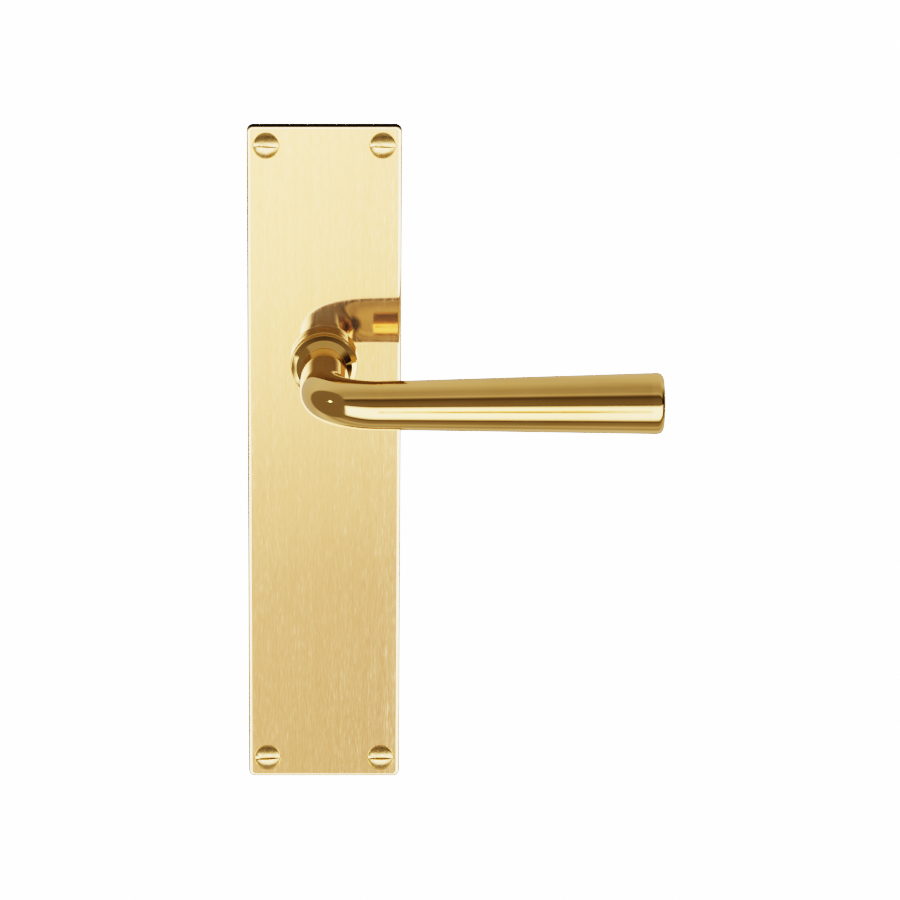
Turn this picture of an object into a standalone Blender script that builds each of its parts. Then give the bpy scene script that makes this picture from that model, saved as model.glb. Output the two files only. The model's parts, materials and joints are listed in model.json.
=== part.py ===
"""Sprung lever handle on a long backplate, built as its separate pieces.

Frame: +Z up, the door's face is the plane y = 0, the handle stands out towards -Y and
the lever points to +X. The origin is the centre of the backplate's back face.
Lengths are in metres and angles in degrees unless a name says otherwise.
"""

import math

import bmesh
import bpy
from mathutils import Vector

# ---------------------------------------------------------------- driving dimensions

GAP = 0.0003                      # clearance between neighbouring pieces

PLATE_WIDTH = 0.050
PLATE_HEIGHT = 0.220
PLATE_THICKNESS = 0.003
PLATE_CORNER_RADIUS = 0.0022
PLATE_EDGE_ROUND = 0.0009
PLATE_WAIST_Z = 0.0060            # height where the back is divided, below the cassette

SPINDLE_Z = 0.032                 # height of the lever's axis above the plate's centre
PLATE_SCREW_X = 0.0187
PLATE_SCREW_Z = 0.1033

COLLAR_RADIUS = 0.0109
COLLAR_FRONT = -0.0080            # y of the fixed collar's front face
COLLAR_EDGE_ROUND = 0.0005
COLLAR_SPIGOT_RADIUS = 0.0097
COLLAR_BORE_RADIUS = 0.0084
COLLAR_SPIGOT_END = 0.0038
THRUST_RECESS_RADIUS = 0.0093
THRUST_RECESS_DEPTH = 0.0008

SHANK_RADIUS = 0.0070
SHANK_END = 0.0120
SHANK_FLAT_START = 0.0050
SHANK_FLAT_HALF = 0.0058
CLIP_GROOVE_RADIUS = 0.0064
CLIP_GROOVE_START = 0.0098
CLIP_GROOVE_END = 0.0112

SHOULDER_RADIUS = 0.01055
SHOULDER_ROLL_START = 0.0009      # plain rim before the shoulder rolls over
SHOULDER_LENGTH = 0.0033
SHOULDER_FACE_RADIUS = 0.0084
COVE_RADIUS = 0.0081
COVE_LENGTH = 0.0014

NECK_RADIUS = 0.0070              # radius of the bar just in front of the shoulder
ELBOW_RADIUS = 0.0077             # radius of the bar through the bend
TIP_RADIUS = 0.0097
NECK_FLARE_LENGTH = 0.0160
GRIP_DISTANCE = 0.0560            # from the plate's front face to the grip's axis
BEND_RADIUS = 0.0172
LEVER_REACH = 0.1065              # from the spindle axis to the tip
GRIP_RISE = 0.0007                # the grip climbs by this much from the bend to the tip
TIP_ROUND = 0.0022
TIP_DOME = 0.0005

SPINDLE_HALF = 0.0040
SPINDLE_INNER_END = -0.0220
SPINDLE_OUTER_END = 0.0550
SPINDLE_CHAMFER = 0.0006
SPINDLE_CLEAR_Y = 0.0140          # from here back the spindle stands clear of the cassette
SPINDLE_HELD_HALF = 0.00395       # the end inside the handle is ground a little finer

GRUB_Y = -0.0165
GRUB_ANGLE = 90.0                 # straight down
GRUB_RADIUS = 0.0023
GRUB_OUTER = 0.0066               # distance of the grub screw's outer end from the axis

HOUSING_RADIUS = 0.0192
HOUSING_WALL = 0.0012
HOUSING_END = 0.0100
COVER_THICKNESS = 0.0010
COVER_HOLE_RADIUS = 0.0114
BOSS_OFFSET = 0.0208              # from the spindle axis to each cassette screw
BOSS_RADIUS = 0.0034
CASSETTE_SCREW_RADIUS = 0.0015
CASSETTE_HOLE_DEPTH = 0.0020      # blind holes in the backplate's back

NUT_RADIUS = 0.0125
NUT_THICKNESS = 0.0020
CAM_RADIUS = 0.0150
CAM_FRONT = 0.0080
CAM_BACK = 0.0098
CAM_HUB_RADIUS = 0.0100
CAM_TAB_ANGLE = 160.0             # from +X towards -Z, at rest
CAM_TAB_HALF_WIDTH = 0.0012
CAM_TAB_INNER = 0.0153
CAM_TAB_OUTER = 0.0172
CAM_TAB_FRONT = 0.0059

LEVER_TRAVEL = 40.0
STOP_PIN_RADIUS = 0.0010
STOP_PIN_OFFSET = 0.0163
STOP_PIN_FRONT = 0.0081

WIRE_RADIUS = 0.0007
COIL_RADIUS = 0.0140
COIL_PITCH = 0.00175
COIL_START_Y = 0.0026
COIL_LEG_BEND = 0.0020
FIXED_LEG_ANGLE = 20.0
FIXED_LEG_END = 0.0189
MOVING_LEG_END = 0.0169
COIL_EXTRA_TURNS = 2

SCREW_HEAD_RADIUS = 0.0042
SCREW_SHANK_RADIUS = 0.00225
SCREW_DOME = 0.0012
SCREW_LENGTH = 0.030
SCREW_SLOT_WIDTH = 0.0011
SCREW_SLOT_DEPTH = 0.0014
COUNTERSINK_RADIUS = 0.00465

ROUND_SEGMENTS = 40
LEVER_SEGMENTS = 32
SMALL_SEGMENTS = 20

PLATE_FRONT = -PLATE_THICKNESS
PLATE_BORE_RADIUS = COLLAR_SPIGOT_RADIUS + GAP
SHANK_BORE_RADIUS = SHANK_RADIUS + GAP
SHOULDER_BACK = COLLAR_FRONT - GAP
HOUSING_FLOOR = GAP + HOUSING_WALL
COVER_FRONT = HOUSING_END + GAP
COVER_BACK = COVER_FRONT + COVER_THICKNESS
CASSETTE_HOLE_RADIUS = CASSETTE_SCREW_RADIUS + GAP
AXIS_POINT = (0.0, 0.0, SPINDLE_Z)

# ------------------------------------------------------------------------- materials

# name: base colour, metallic, roughness
FINISHES = {
    "satin_brass": ((0.80, 0.60, 0.27), 1.0, 0.22),
    "polished_brass": ((0.78, 0.55, 0.20), 1.0, 0.08),
    "screw_brass": ((0.76, 0.54, 0.21), 1.0, 0.14),
    "bright_steel": ((0.62, 0.62, 0.63), 1.0, 0.28),
    "zinc_plated": ((0.60, 0.62, 0.64), 1.0, 0.35),
    "black_steel": ((0.06, 0.06, 0.065), 0.8, 0.45),
    "nylon": ((0.85, 0.84, 0.80), 0.0, 0.50),
}


def make_material(name):
    """One Principled material for one piece's finish."""
    colour, metallic, roughness = FINISHES[name]
    material = bpy.data.materials.new(name)
    material.use_nodes = True
    shader = material.node_tree.nodes["Principled BSDF"]
    shader.inputs["Base Color"].default_value = (*colour, 1.0)
    shader.inputs["Metallic"].default_value = metallic
    shader.inputs["Roughness"].default_value = roughness
    return material


# --------------------------------------------------------------------- object helpers


def clear_scene():
    """Remove every object that the file opened with."""
    for item in list(bpy.data.objects):
        bpy.data.objects.remove(item, do_unlink=True)


def finish_object(name, mesh_data, finish, location=AXIS_POINT, parent=None):
    """Turn an edited mesh into a named object with its own material."""
    bmesh.ops.recalc_face_normals(mesh_data, faces=mesh_data.faces)
    mesh = bpy.data.meshes.new(name)
    mesh_data.to_mesh(mesh)
    mesh_data.free()
    mesh.shade_smooth()
    mesh.set_sharp_from_angle(angle=math.radians(32.0))
    piece = bpy.data.objects.new(name, mesh)
    bpy.context.collection.objects.link(piece)
    if finish:
        mesh.materials.append(make_material(finish))
    if parent:
        piece.parent = parent
    else:
        piece.location = location
    return piece


def as_cutter(piece):
    """Mark an object as a cutting tool that is not part of the handle."""
    piece.hide_render = True
    piece.display_type = "WIRE"
    return piece


def combine(target, other, operation):
    """Add an exact Boolean modifier to a piece."""
    modifier = target.modifiers.new(operation.lower() + "_" + other.name, "BOOLEAN")
    modifier.operation = operation
    modifier.solver = "EXACT"
    modifier.object = other


def cut(target, other):
    combine(target, other, "DIFFERENCE")


def join(target, other):
    combine(target, other, "UNION")


def bridge_rings(mesh_data, rings, closed):
    """Make quads between neighbouring rings of vertices."""
    pairs = list(zip(rings, rings[1:]))
    if closed:
        pairs.append((rings[-1], rings[0]))
    for first, second in pairs:
        count = len(first)
        for index in range(count):
            following = (index + 1) % count
            corners = (first[index], first[following], second[following], second[index])
            mesh_data.faces.new(corners)


def circle_ring(mesh_data, y, radius, segments):
    """Vertices of a circle about the Y axis."""
    ring = []
    for index in range(segments):
        angle = 2.0 * math.pi * index / segments
        ring.append(mesh_data.verts.new((radius * math.cos(angle), y, radius * math.sin(angle))))
    return ring


def turned_ring(name, outline, finish, segments=ROUND_SEGMENTS, location=AXIS_POINT, parent=None):
    """Ring turned about the Y axis from a closed outline of (y, radius) points."""
    mesh_data = bmesh.new()
    rings = [circle_ring(mesh_data, y, radius, segments) for y, radius in outline]
    bridge_rings(mesh_data, rings, closed=True)
    return finish_object(name, mesh_data, finish, location, parent)


def turned_solid(name, outline, finish, segments=ROUND_SEGMENTS, location=AXIS_POINT, parent=None):
    """Solid turned about the Y axis; both ends of the outline are closed with a face."""
    mesh_data = bmesh.new()
    rings = [circle_ring(mesh_data, y, radius, segments) for y, radius in outline]
    bridge_rings(mesh_data, rings, closed=False)
    mesh_data.faces.new(rings[0])
    mesh_data.faces.new(rings[-1])
    return finish_object(name, mesh_data, finish, location, parent)


def rod(name, radius, start, end, finish=None, segments=SMALL_SEGMENTS, location=AXIS_POINT):
    """Plain cylinder along Y."""
    return turned_solid(name, [(start, radius), (end, radius)], finish, segments, location)


def prism(name, outline, start, end, finish, location=AXIS_POINT, parent=None):
    """Solid with a closed (x, z) outline, drawn out along Y."""
    mesh_data = bmesh.new()
    first = [mesh_data.verts.new((x, start, z)) for x, z in outline]
    second = [mesh_data.verts.new((x, end, z)) for x, z in outline]
    bridge_rings(mesh_data, [first, second], closed=False)
    mesh_data.faces.new(first)
    mesh_data.faces.new(second)
    return finish_object(name, mesh_data, finish, location, parent)


def block(name, low, high, finish=None, location=AXIS_POINT, parent=None):
    """Box between two corners."""
    corners = ((low[0], low[2]), (high[0], low[2]), (high[0], high[2]), (low[0], high[2]))
    return prism(name, corners, low[1], high[1], finish, location, parent)


def arc(centre, radii, start, end, steps):
    """Points of an elliptical arc in a plane; angles in degrees."""
    points = []
    for step in range(steps + 1):
        angle = math.radians(start + (end - start) * step / steps)
        first = centre[0] + radii[0] * math.cos(angle)
        second = centre[1] + radii[1] * math.sin(angle)
        points.append((first, second))
    return points


def on_circle(radius, angle):
    """(x, z) of a point at an angle from +X towards -Z, the way the lever turns."""
    turn = math.radians(angle)
    return (radius * math.cos(turn), -radius * math.sin(turn))


def aim(piece, y, angle):
    """Turn a piece made along Y so that it points outwards from the lever's axis."""
    piece.rotation_mode = "ZYX"
    piece.rotation_euler = (0.0, math.radians(angle), -math.pi / 2)
    piece.location.y = y


# -------------------------------------------------------------------------- backplate


def rounded_outline(half_width, half_height, radius):
    """(x, z) outline of a rectangle with round corners, as an upper and a lower half."""
    corner_x = half_width - radius
    corner_z = half_height - radius
    halves = []
    for sign in (1, -1):
        points = [(sign * half_width, PLATE_WAIST_Z)]
        for side in (1, -1):
            centre = (sign * side * corner_x, sign * corner_z)
            start = 90 * (1 - sign) + 45 * (1 - side)
            points.extend(arc(centre, (radius, radius), start, start + 90, 5))
        halves.append(points)
    return halves


def plate_screw_places():
    """Name and (x, z) of each plate screw."""
    places = []
    for height, sign_z in (("upper", 1), ("lower", -1)):
        for side, sign_x in (("left", -1), ("right", 1)):
            places.append((height + "_" + side, sign_x * PLATE_SCREW_X, sign_z * PLATE_SCREW_Z))
    return places


def cassette_screw_places():
    """Name and z from the spindle axis of each cassette screw."""
    return (("upper", BOSS_OFFSET), ("lower", -BOSS_OFFSET))


def make_backplate():
    mesh_data = bmesh.new()
    edge = PLATE_EDGE_ROUND
    layers = [(0.0, 0.0)]
    for outward, forward in arc((0.0, 0.0), (edge, edge), 0, 90, 4):
        layers.append((PLATE_FRONT + edge - forward, edge - outward))
    rings = []
    for y, inset in layers:
        radius = PLATE_CORNER_RADIUS - inset
        upper, lower = rounded_outline(PLATE_WIDTH / 2 - inset, PLATE_HEIGHT / 2 - inset, radius)
        rings.append([mesh_data.verts.new((x, y, z)) for x, z in upper + lower])
    bridge_rings(mesh_data, rings, closed=False)
    half_count = len(upper)
    for ring in (rings[0], rings[-1]):
        mesh_data.faces.new(ring[:half_count + 1])
        mesh_data.faces.new(ring[half_count:] + ring[:1])
    plate = finish_object("backplate", mesh_data, "satin_brass", (0.0, 0.0, 0.0))

    bore = rod("cut_plate_bore", PLATE_BORE_RADIUS, -0.01, 0.01, segments=ROUND_SEGMENTS)
    cut(plate, as_cutter(bore))
    over = 0.001
    hole_radius = SCREW_SHANK_RADIUS + COUNTERSINK_RADIUS - SCREW_HEAD_RADIUS
    cone_depth = SCREW_HEAD_RADIUS - SCREW_SHANK_RADIUS
    countersink = [
        (PLATE_FRONT - over, COUNTERSINK_RADIUS + over),
        (PLATE_FRONT + cone_depth, hole_radius),
        (over, hole_radius),
    ]
    for place, x, z in plate_screw_places():
        tool = turned_solid("cut_screw_" + place, countersink, None, 24, (x, 0.0, z))
        cut(plate, as_cutter(tool))
    for place, z in cassette_screw_places():
        centre = (0.0, 0.0, SPINDLE_Z + z)
        tool = rod("cut_tapped_" + place, CASSETTE_HOLE_RADIUS, -CASSETTE_HOLE_DEPTH, over, location=centre)
        cut(plate, as_cutter(tool))


def make_plate_screw(place, x, z):
    """Raised countersunk wood screw with a level slot."""
    head_back = PLATE_FRONT + SCREW_HEAD_RADIUS - SCREW_SHANK_RADIUS
    tip = PLATE_FRONT + SCREW_LENGTH
    dome = []
    for part in (0.12, 0.35, 0.6, 0.82, 1.0):
        height = SCREW_DOME * (1.0 - part * part)
        dome.append((PLATE_FRONT - height, SCREW_HEAD_RADIUS * part))
    outline = dome + [
        (head_back, SCREW_SHANK_RADIUS),
        (tip - 0.006, SCREW_SHANK_RADIUS),
        (tip, 0.0003),
    ]
    screw = turned_solid("plate_screw_" + place, outline, "screw_brass", SMALL_SEGMENTS, (x, 0.0, z))
    slot_floor = PLATE_FRONT - SCREW_DOME + SCREW_SLOT_DEPTH
    low = (-0.006, PLATE_FRONT - 0.003, -SCREW_SLOT_WIDTH / 2)
    high = (0.006, slot_floor, SCREW_SLOT_WIDTH / 2)
    cut(screw, as_cutter(block("cut_slot_" + place, low, high, location=(x, 0.0, z))))


# ------------------------------------------------------------ collar and its bearings


def make_fixed_collar():
    """Turned ring whose threaded spigot passes through the plate and the cassette."""
    edge = COLLAR_EDGE_ROUND
    front = arc((COLLAR_FRONT + edge, COLLAR_RADIUS - edge), (edge, edge), 90, 180, 4)
    recess_floor = COLLAR_FRONT + THRUST_RECESS_DEPTH
    outline = [
        (COLLAR_SPIGOT_END, COLLAR_BORE_RADIUS),
        (COLLAR_SPIGOT_END, COLLAR_SPIGOT_RADIUS - GAP),
        (COLLAR_SPIGOT_END - GAP, COLLAR_SPIGOT_RADIUS),
        (PLATE_FRONT - GAP, COLLAR_SPIGOT_RADIUS),
        (PLATE_FRONT - GAP, COLLAR_RADIUS),
    ]
    outline += front
    outline += [
        (COLLAR_FRONT, THRUST_RECESS_RADIUS),
        (recess_floor, THRUST_RECESS_RADIUS),
        (recess_floor, COLLAR_BORE_RADIUS),
    ]
    turned_ring("fixed_collar", outline, "polished_brass")


def tube(name, inner, outer, start, end, finish, parent=None):
    """Plain ring with a square section."""
    outline = [(start, inner), (start, outer), (end, outer), (end, inner)]
    return turned_ring(name, outline, finish, parent=parent)


def make_bearings():
    recess_floor = COLLAR_FRONT + THRUST_RECESS_DEPTH
    outer = COLLAR_BORE_RADIUS - GAP
    tube("bearing_sleeve", SHANK_BORE_RADIUS, outer, recess_floor + GAP, COLLAR_SPIGOT_END - GAP, "nylon")
    tube("thrust_washer", SHANK_BORE_RADIUS + GAP, THRUST_RECESS_RADIUS - GAP, COLLAR_FRONT,
         recess_floor - GAP, "nylon")


def make_lock_nut():
    """Thin ring nut with two spanner slots."""
    front = HOUSING_FLOOR + GAP
    back = front + NUT_THICKNESS
    nut = tube("collar_lock_nut", PLATE_BORE_RADIUS, NUT_RADIUS, front, back, "screw_brass")
    low = (-0.02, back - 0.0009, -0.001)
    high = (0.02, back + 0.001, 0.001)
    cut(nut, as_cutter(block("cut_nut_slots", low, high)))


# ------------------------------------------------------------------------------ lever


def lever_turned_outline():
    """(y, radius) of the turned part, from the shank's end to the neck."""
    chamfer = 0.0004
    outline = [
        (SHANK_END, SHANK_RADIUS - chamfer),
        (SHANK_END - chamfer, SHANK_RADIUS),
        (CLIP_GROOVE_END, SHANK_RADIUS),
        (CLIP_GROOVE_END, CLIP_GROOVE_RADIUS),
        (CLIP_GROOVE_START, CLIP_GROOVE_RADIUS),
        (CLIP_GROOVE_START, SHANK_RADIUS),
        (SHOULDER_BACK, SHANK_RADIUS),
        (SHOULDER_BACK, SHOULDER_RADIUS - GAP),
        (SHOULDER_BACK - GAP, SHOULDER_RADIUS),
    ]
    roll_start = SHOULDER_BACK - SHOULDER_ROLL_START
    roll_length = SHOULDER_LENGTH - SHOULDER_ROLL_START
    roll_height = SHOULDER_RADIUS - SHOULDER_FACE_RADIUS
    outline += arc((roll_start, SHOULDER_FACE_RADIUS), (roll_length, roll_height), 90, 180, 5)
    face = SHOULDER_BACK - SHOULDER_LENGTH
    drop = COVE_RADIUS - NECK_RADIUS
    outline += arc((face - COVE_LENGTH, COVE_RADIUS), (COVE_LENGTH, drop), 0, -90, 4)
    return outline


def bar_stations():
    """(centre, direction, radius) along the neck, the bend and the grip."""
    stations = []
    neck_start = SHOULDER_BACK - SHOULDER_LENGTH - COVE_LENGTH
    grip_y = PLATE_FRONT - GRIP_DISTANCE
    bend_start = grip_y + BEND_RADIUS
    outward = Vector((0.0, -1.0, 0.0))
    flare = ELBOW_RADIUS - NECK_RADIUS
    for part in (0.2, 0.4, 0.6, 0.8, 1.0):
        centre = Vector((0.0, neck_start - NECK_FLARE_LENGTH * part, 0.0))
        stations.append((centre, outward, NECK_RADIUS + flare * math.sin(math.pi / 2 * part)))
    bend_steps = 12
    for step in range(bend_steps + 1):
        angle = math.pi / 2 * step / bend_steps
        x = BEND_RADIUS * (1.0 - math.cos(angle))
        y = bend_start - BEND_RADIUS * math.sin(angle)
        direction = Vector((math.sin(angle), -math.cos(angle), 0.0))
        stations.append((Vector((x, y, 0.0)), direction, ELBOW_RADIUS))
    grip_end = LEVER_REACH - TIP_ROUND - TIP_DOME
    along = Vector((1.0, 0.0, 0.0))
    for part in (0.25, 0.5, 0.75, 1.0):
        x = BEND_RADIUS + (grip_end - BEND_RADIUS) * part
        radius = ELBOW_RADIUS + (TIP_RADIUS - ELBOW_RADIUS) * part
        stations.append((Vector((x, grip_y, GRIP_RISE * part)), along, radius))
    for forward, height in arc((0.0, 0.0), (TIP_ROUND, TIP_ROUND), 0, 90, 5)[::-1][1:]:
        radius = TIP_RADIUS - TIP_ROUND + height
        stations.append((Vector((grip_end + forward, grip_y, GRIP_RISE)), along, radius))
    crown = Vector((LEVER_REACH, grip_y, GRIP_RISE))
    stations.append((crown, along, 0.3 * TIP_RADIUS))
    return stations


def make_lever(axis):
    """Shank, shoulder, neck, bend and grip as one bar of brass."""
    mesh_data = bmesh.new()
    segments = LEVER_SEGMENTS
    rings = [circle_ring(mesh_data, y, radius, segments) for y, radius in lever_turned_outline()]
    for centre, direction, radius in bar_stations():
        sideways = Vector((-direction.y, direction.x, 0.0))
        ring = []
        for index in range(segments):
            angle = 2.0 * math.pi * index / segments
            offset = sideways * (radius * math.cos(angle))
            offset.z += radius * math.sin(angle)
            ring.append(mesh_data.verts.new(centre + offset))
        rings.append(ring)
    bridge_rings(mesh_data, rings, closed=False)
    mesh_data.faces.new(rings[0])
    mesh_data.faces.new(rings[-1])
    lever = finish_object("lever", mesh_data, "polished_brass", parent=axis)

    half = SPINDLE_HALF + GAP
    over = 0.002
    socket_low = (-half, SPINDLE_INNER_END - GAP, -half)
    socket_high = (half, SHANK_END + over, half)
    cut(lever, as_cutter(block("cut_lever_socket", socket_low, socket_high)))
    for place, sign in (("upper", 1), ("lower", -1)):
        near = sign * SHANK_FLAT_HALF
        far = sign * (SHANK_RADIUS + over)
        low = (-0.01, SHANK_FLAT_START, min(near, far))
        high = (0.01, SHANK_END + over, max(near, far))
        cut(lever, as_cutter(block("cut_shank_flat_" + place, low, high)))
    hole = rod("cut_grub_hole", GRUB_RADIUS + GAP, 0.0, NECK_RADIUS + over)
    aim(hole, GRUB_Y, GRUB_ANGLE)
    cut(lever, as_cutter(hole))


def make_spindle(axis):
    """Square bar with chamfered ends, ground finer where the lever holds it."""
    mesh_data = bmesh.new()
    rings = []
    small = SPINDLE_HALF - SPINDLE_CHAMFER
    sections = (
        (SPINDLE_INNER_END, small),
        (SPINDLE_INNER_END + SPINDLE_CHAMFER, SPINDLE_HELD_HALF),
        (SPINDLE_CLEAR_Y - SPINDLE_CHAMFER, SPINDLE_HELD_HALF),
        (SPINDLE_CLEAR_Y, SPINDLE_HALF),
        (SPINDLE_OUTER_END - SPINDLE_CHAMFER, SPINDLE_HALF),
        (SPINDLE_OUTER_END, small),
    )
    for y, half in sections:
        corners = ((-half, -half), (half, -half), (half, half), (-half, half))
        rings.append([mesh_data.verts.new((x, y, z)) for x, z in corners])
    bridge_rings(mesh_data, rings, closed=False)
    mesh_data.faces.new(rings[0])
    mesh_data.faces.new(rings[-1])
    finish_object("spindle", mesh_data, "bright_steel", parent=axis)


def make_grub_screw(axis):
    """Socket set screw that comes up from under the neck."""
    inner = SPINDLE_HALF + GAP
    chamfer = 0.0004
    outline = [
        (inner, GRUB_RADIUS - chamfer),
        (inner + chamfer, GRUB_RADIUS),
        (GRUB_OUTER - chamfer, GRUB_RADIUS),
        (GRUB_OUTER, GRUB_RADIUS - chamfer),
    ]
    screw = turned_solid("grub_screw", outline, "black_steel", SMALL_SEGMENTS, parent=axis)
    aim(screw, GRUB_Y, GRUB_ANGLE)
    hexagon = [on_circle(0.0013, 60 * side) for side in range(6)]
    socket = prism("cut_grub_socket", hexagon, GRUB_OUTER - 0.0013, GRUB_OUTER + 0.001, None)
    aim(socket, GRUB_Y, GRUB_ANGLE)
    cut(screw, as_cutter(socket))


# ------------------------------------------------------------------- spring cassette


def cassette_outline():
    """(x, z) outline of a disc with a round ear above and one below."""
    disc = (HOUSING_RADIUS, HOUSING_RADIUS)
    ear = (BOSS_RADIUS, BOSS_RADIUS)
    squares = HOUSING_RADIUS ** 2 + BOSS_OFFSET ** 2 - BOSS_RADIUS ** 2
    corner_cosine = squares / (2.0 * HOUSING_RADIUS * BOSS_OFFSET)
    corner = math.degrees(math.acos(corner_cosine))
    reach = BOSS_OFFSET - HOUSING_RADIUS * corner_cosine
    ear_half = 180.0 - math.degrees(math.acos(reach / BOSS_RADIUS))
    outline = []
    for middle in (90.0, 270.0):
        centre = (0.0, BOSS_OFFSET * math.sin(math.radians(middle)))
        outline += arc(centre, ear, middle - ear_half, middle + ear_half, 14)
        outline += arc((0.0, 0.0), disc, middle + corner, middle + 180.0 - corner, 18)[1:-1]
    return outline


def make_spring_housing():
    """Cup with two screw bosses, a bore for the collar and a hole for the spring's leg."""
    housing = prism("spring_housing", cassette_outline(), GAP, HOUSING_END, "zinc_plated")
    inside = HOUSING_RADIUS - HOUSING_WALL
    cavity = rod("cut_cavity", inside, HOUSING_FLOOR, 0.02, segments=ROUND_SEGMENTS)
    cut(housing, as_cutter(cavity))
    bore = rod("cut_housing_bore", PLATE_BORE_RADIUS, -0.01, 0.01, segments=ROUND_SEGMENTS)
    cut(housing, as_cutter(bore))
    for place, z in cassette_screw_places():
        centre = (0.0, 0.0, SPINDLE_Z + z)
        hole = rod("cut_boss_hole_" + place, CASSETTE_HOLE_RADIUS, -0.01, 0.02, location=centre)
        cut(housing, as_cutter(hole))
    leg_hole = rod("cut_leg_hole", WIRE_RADIUS + GAP, COIL_RADIUS, 0.025, segments=12)
    aim(leg_hole, COIL_START_Y, FIXED_LEG_ANGLE)
    cut(housing, as_cutter(leg_hole))


def stop_pin_places():
    """Name and (x, z) from the spindle axis of each stop pin, just clear of the cam's tab."""
    clear = CAM_TAB_HALF_WIDTH + STOP_PIN_RADIUS + GAP
    angle = math.degrees(math.asin(clear / STOP_PIN_OFFSET))
    rest = on_circle(STOP_PIN_OFFSET, CAM_TAB_ANGLE - angle)
    end = on_circle(STOP_PIN_OFFSET, CAM_TAB_ANGLE + LEVER_TRAVEL + angle)
    return (("rest", rest), ("end", end))


def make_housing_cover():
    cover = prism("housing_cover", cassette_outline(), COVER_FRONT, COVER_BACK, "zinc_plated")
    opening = rod("cut_cover_opening", COVER_HOLE_RADIUS, 0.0, 0.02, segments=ROUND_SEGMENTS)
    cut(cover, as_cutter(opening))
    for place, z in cassette_screw_places():
        centre = (0.0, 0.0, SPINDLE_Z + z)
        hole = rod("cut_ear_hole_" + place, CASSETTE_HOLE_RADIUS, 0.0, 0.02, location=centre)
        cut(cover, as_cutter(hole))
    for place, (x, z) in stop_pin_places():
        centre = (x, 0.0, SPINDLE_Z + z)
        hole = rod("cut_pin_hole_" + place, STOP_PIN_RADIUS + GAP, 0.0, 0.02, None, 12, centre)
        cut(cover, as_cutter(hole))
        rod("stop_pin_" + place, STOP_PIN_RADIUS, STOP_PIN_FRONT, COVER_BACK, "bright_steel", 16, centre)


def make_cassette_screw(place, z):
    """Slotted cheese-head machine screw into the plate's blind hole."""
    head_front = COVER_BACK + GAP
    head_back = head_front + 0.0018
    head_radius = 0.00275
    chamfer = 0.0003
    outline = [
        (-CASSETTE_HOLE_DEPTH + GAP, CASSETTE_SCREW_RADIUS - chamfer),
        (-CASSETTE_HOLE_DEPTH + GAP + chamfer, CASSETTE_SCREW_RADIUS),
        (head_front, CASSETTE_SCREW_RADIUS),
        (head_front, head_radius),
        (head_back - chamfer, head_radius),
        (head_back, head_radius - chamfer),
    ]
    centre = (0.0, 0.0, SPINDLE_Z + z)
    name = "cassette_screw_" + place
    screw = turned_solid(name, outline, "zinc_plated", SMALL_SEGMENTS, centre)
    low = (-0.004, head_back - 0.0009, -0.0004)
    high = (0.004, head_back + 0.001, 0.0004)
    cut(screw, as_cutter(block("cut_slot_cassette_" + place, low, high, location=centre)))


def make_drive_cam(axis):
    """Disc and hub on the shank's flats, with a tab that reaches the spring's leg."""
    half = CAM_TAB_HALF_WIDTH
    root = math.degrees(math.asin(half / CAM_RADIUS))
    outline = arc((0.0, 0.0), (CAM_RADIUS, CAM_RADIUS), root, 360.0 - root, 38)
    outline += [(CAM_TAB_OUTER, -half), (CAM_TAB_OUTER, half)]
    cam = prism("drive_cam", outline, CAM_FRONT, CAM_BACK, "zinc_plated", parent=axis)
    cam.rotation_euler.y = math.radians(CAM_TAB_ANGLE)
    middle = (CAM_FRONT + CAM_BACK) / 2
    hub = rod("add_cam_hub", CAM_HUB_RADIUS, SHANK_FLAT_START, middle, segments=ROUND_SEGMENTS)
    join(cam, as_cutter(hub))
    fold_half = half - 0.0001
    fold_low = (CAM_TAB_INNER, CAM_TAB_FRONT, -fold_half)
    fold_high = (CAM_TAB_OUTER - 0.0001, middle, fold_half)
    fold = block("add_cam_tab", fold_low, fold_high)
    fold.rotation_euler.y = math.radians(CAM_TAB_ANGLE)
    join(cam, as_cutter(fold))
    flat = SHANK_FLAT_HALF + GAP
    corner = math.degrees(math.asin(flat / SHANK_BORE_RADIUS))
    radii = (SHANK_BORE_RADIUS, SHANK_BORE_RADIUS)
    hole_outline = arc((0.0, 0.0), radii, -corner, corner, 8)
    hole_outline += arc((0.0, 0.0), radii, 180.0 - corner, 180.0 + corner, 8)
    cut(cam, as_cutter(prism("cut_cam_hole", hole_outline, 0.0, 0.02, None)))


def make_wave_washer(axis):
    """Thin ring whose height follows three waves."""
    inner = SHANK_BORE_RADIUS + GAP
    outer = 0.0096
    thickness = 0.0003
    wave = 0.00015
    middle = (COLLAR_SPIGOT_END + SHANK_FLAT_START) / 2
    segments = 36
    mesh_data = bmesh.new()
    rings = []
    corners = ((inner, -0.5), (outer, -0.5), (outer, 0.5), (inner, 0.5))
    for radius, side in corners:
        ring = []
        for index in range(segments):
            angle = 2.0 * math.pi * index / segments
            y = middle + thickness * side + wave * math.sin(3.0 * angle)
            ring.append(mesh_data.verts.new((radius * math.cos(angle), y, radius * math.sin(angle))))
        rings.append(ring)
    bridge_rings(mesh_data, rings, closed=True)
    finish_object("wave_washer", mesh_data, "bright_steel", parent=axis)


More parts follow.
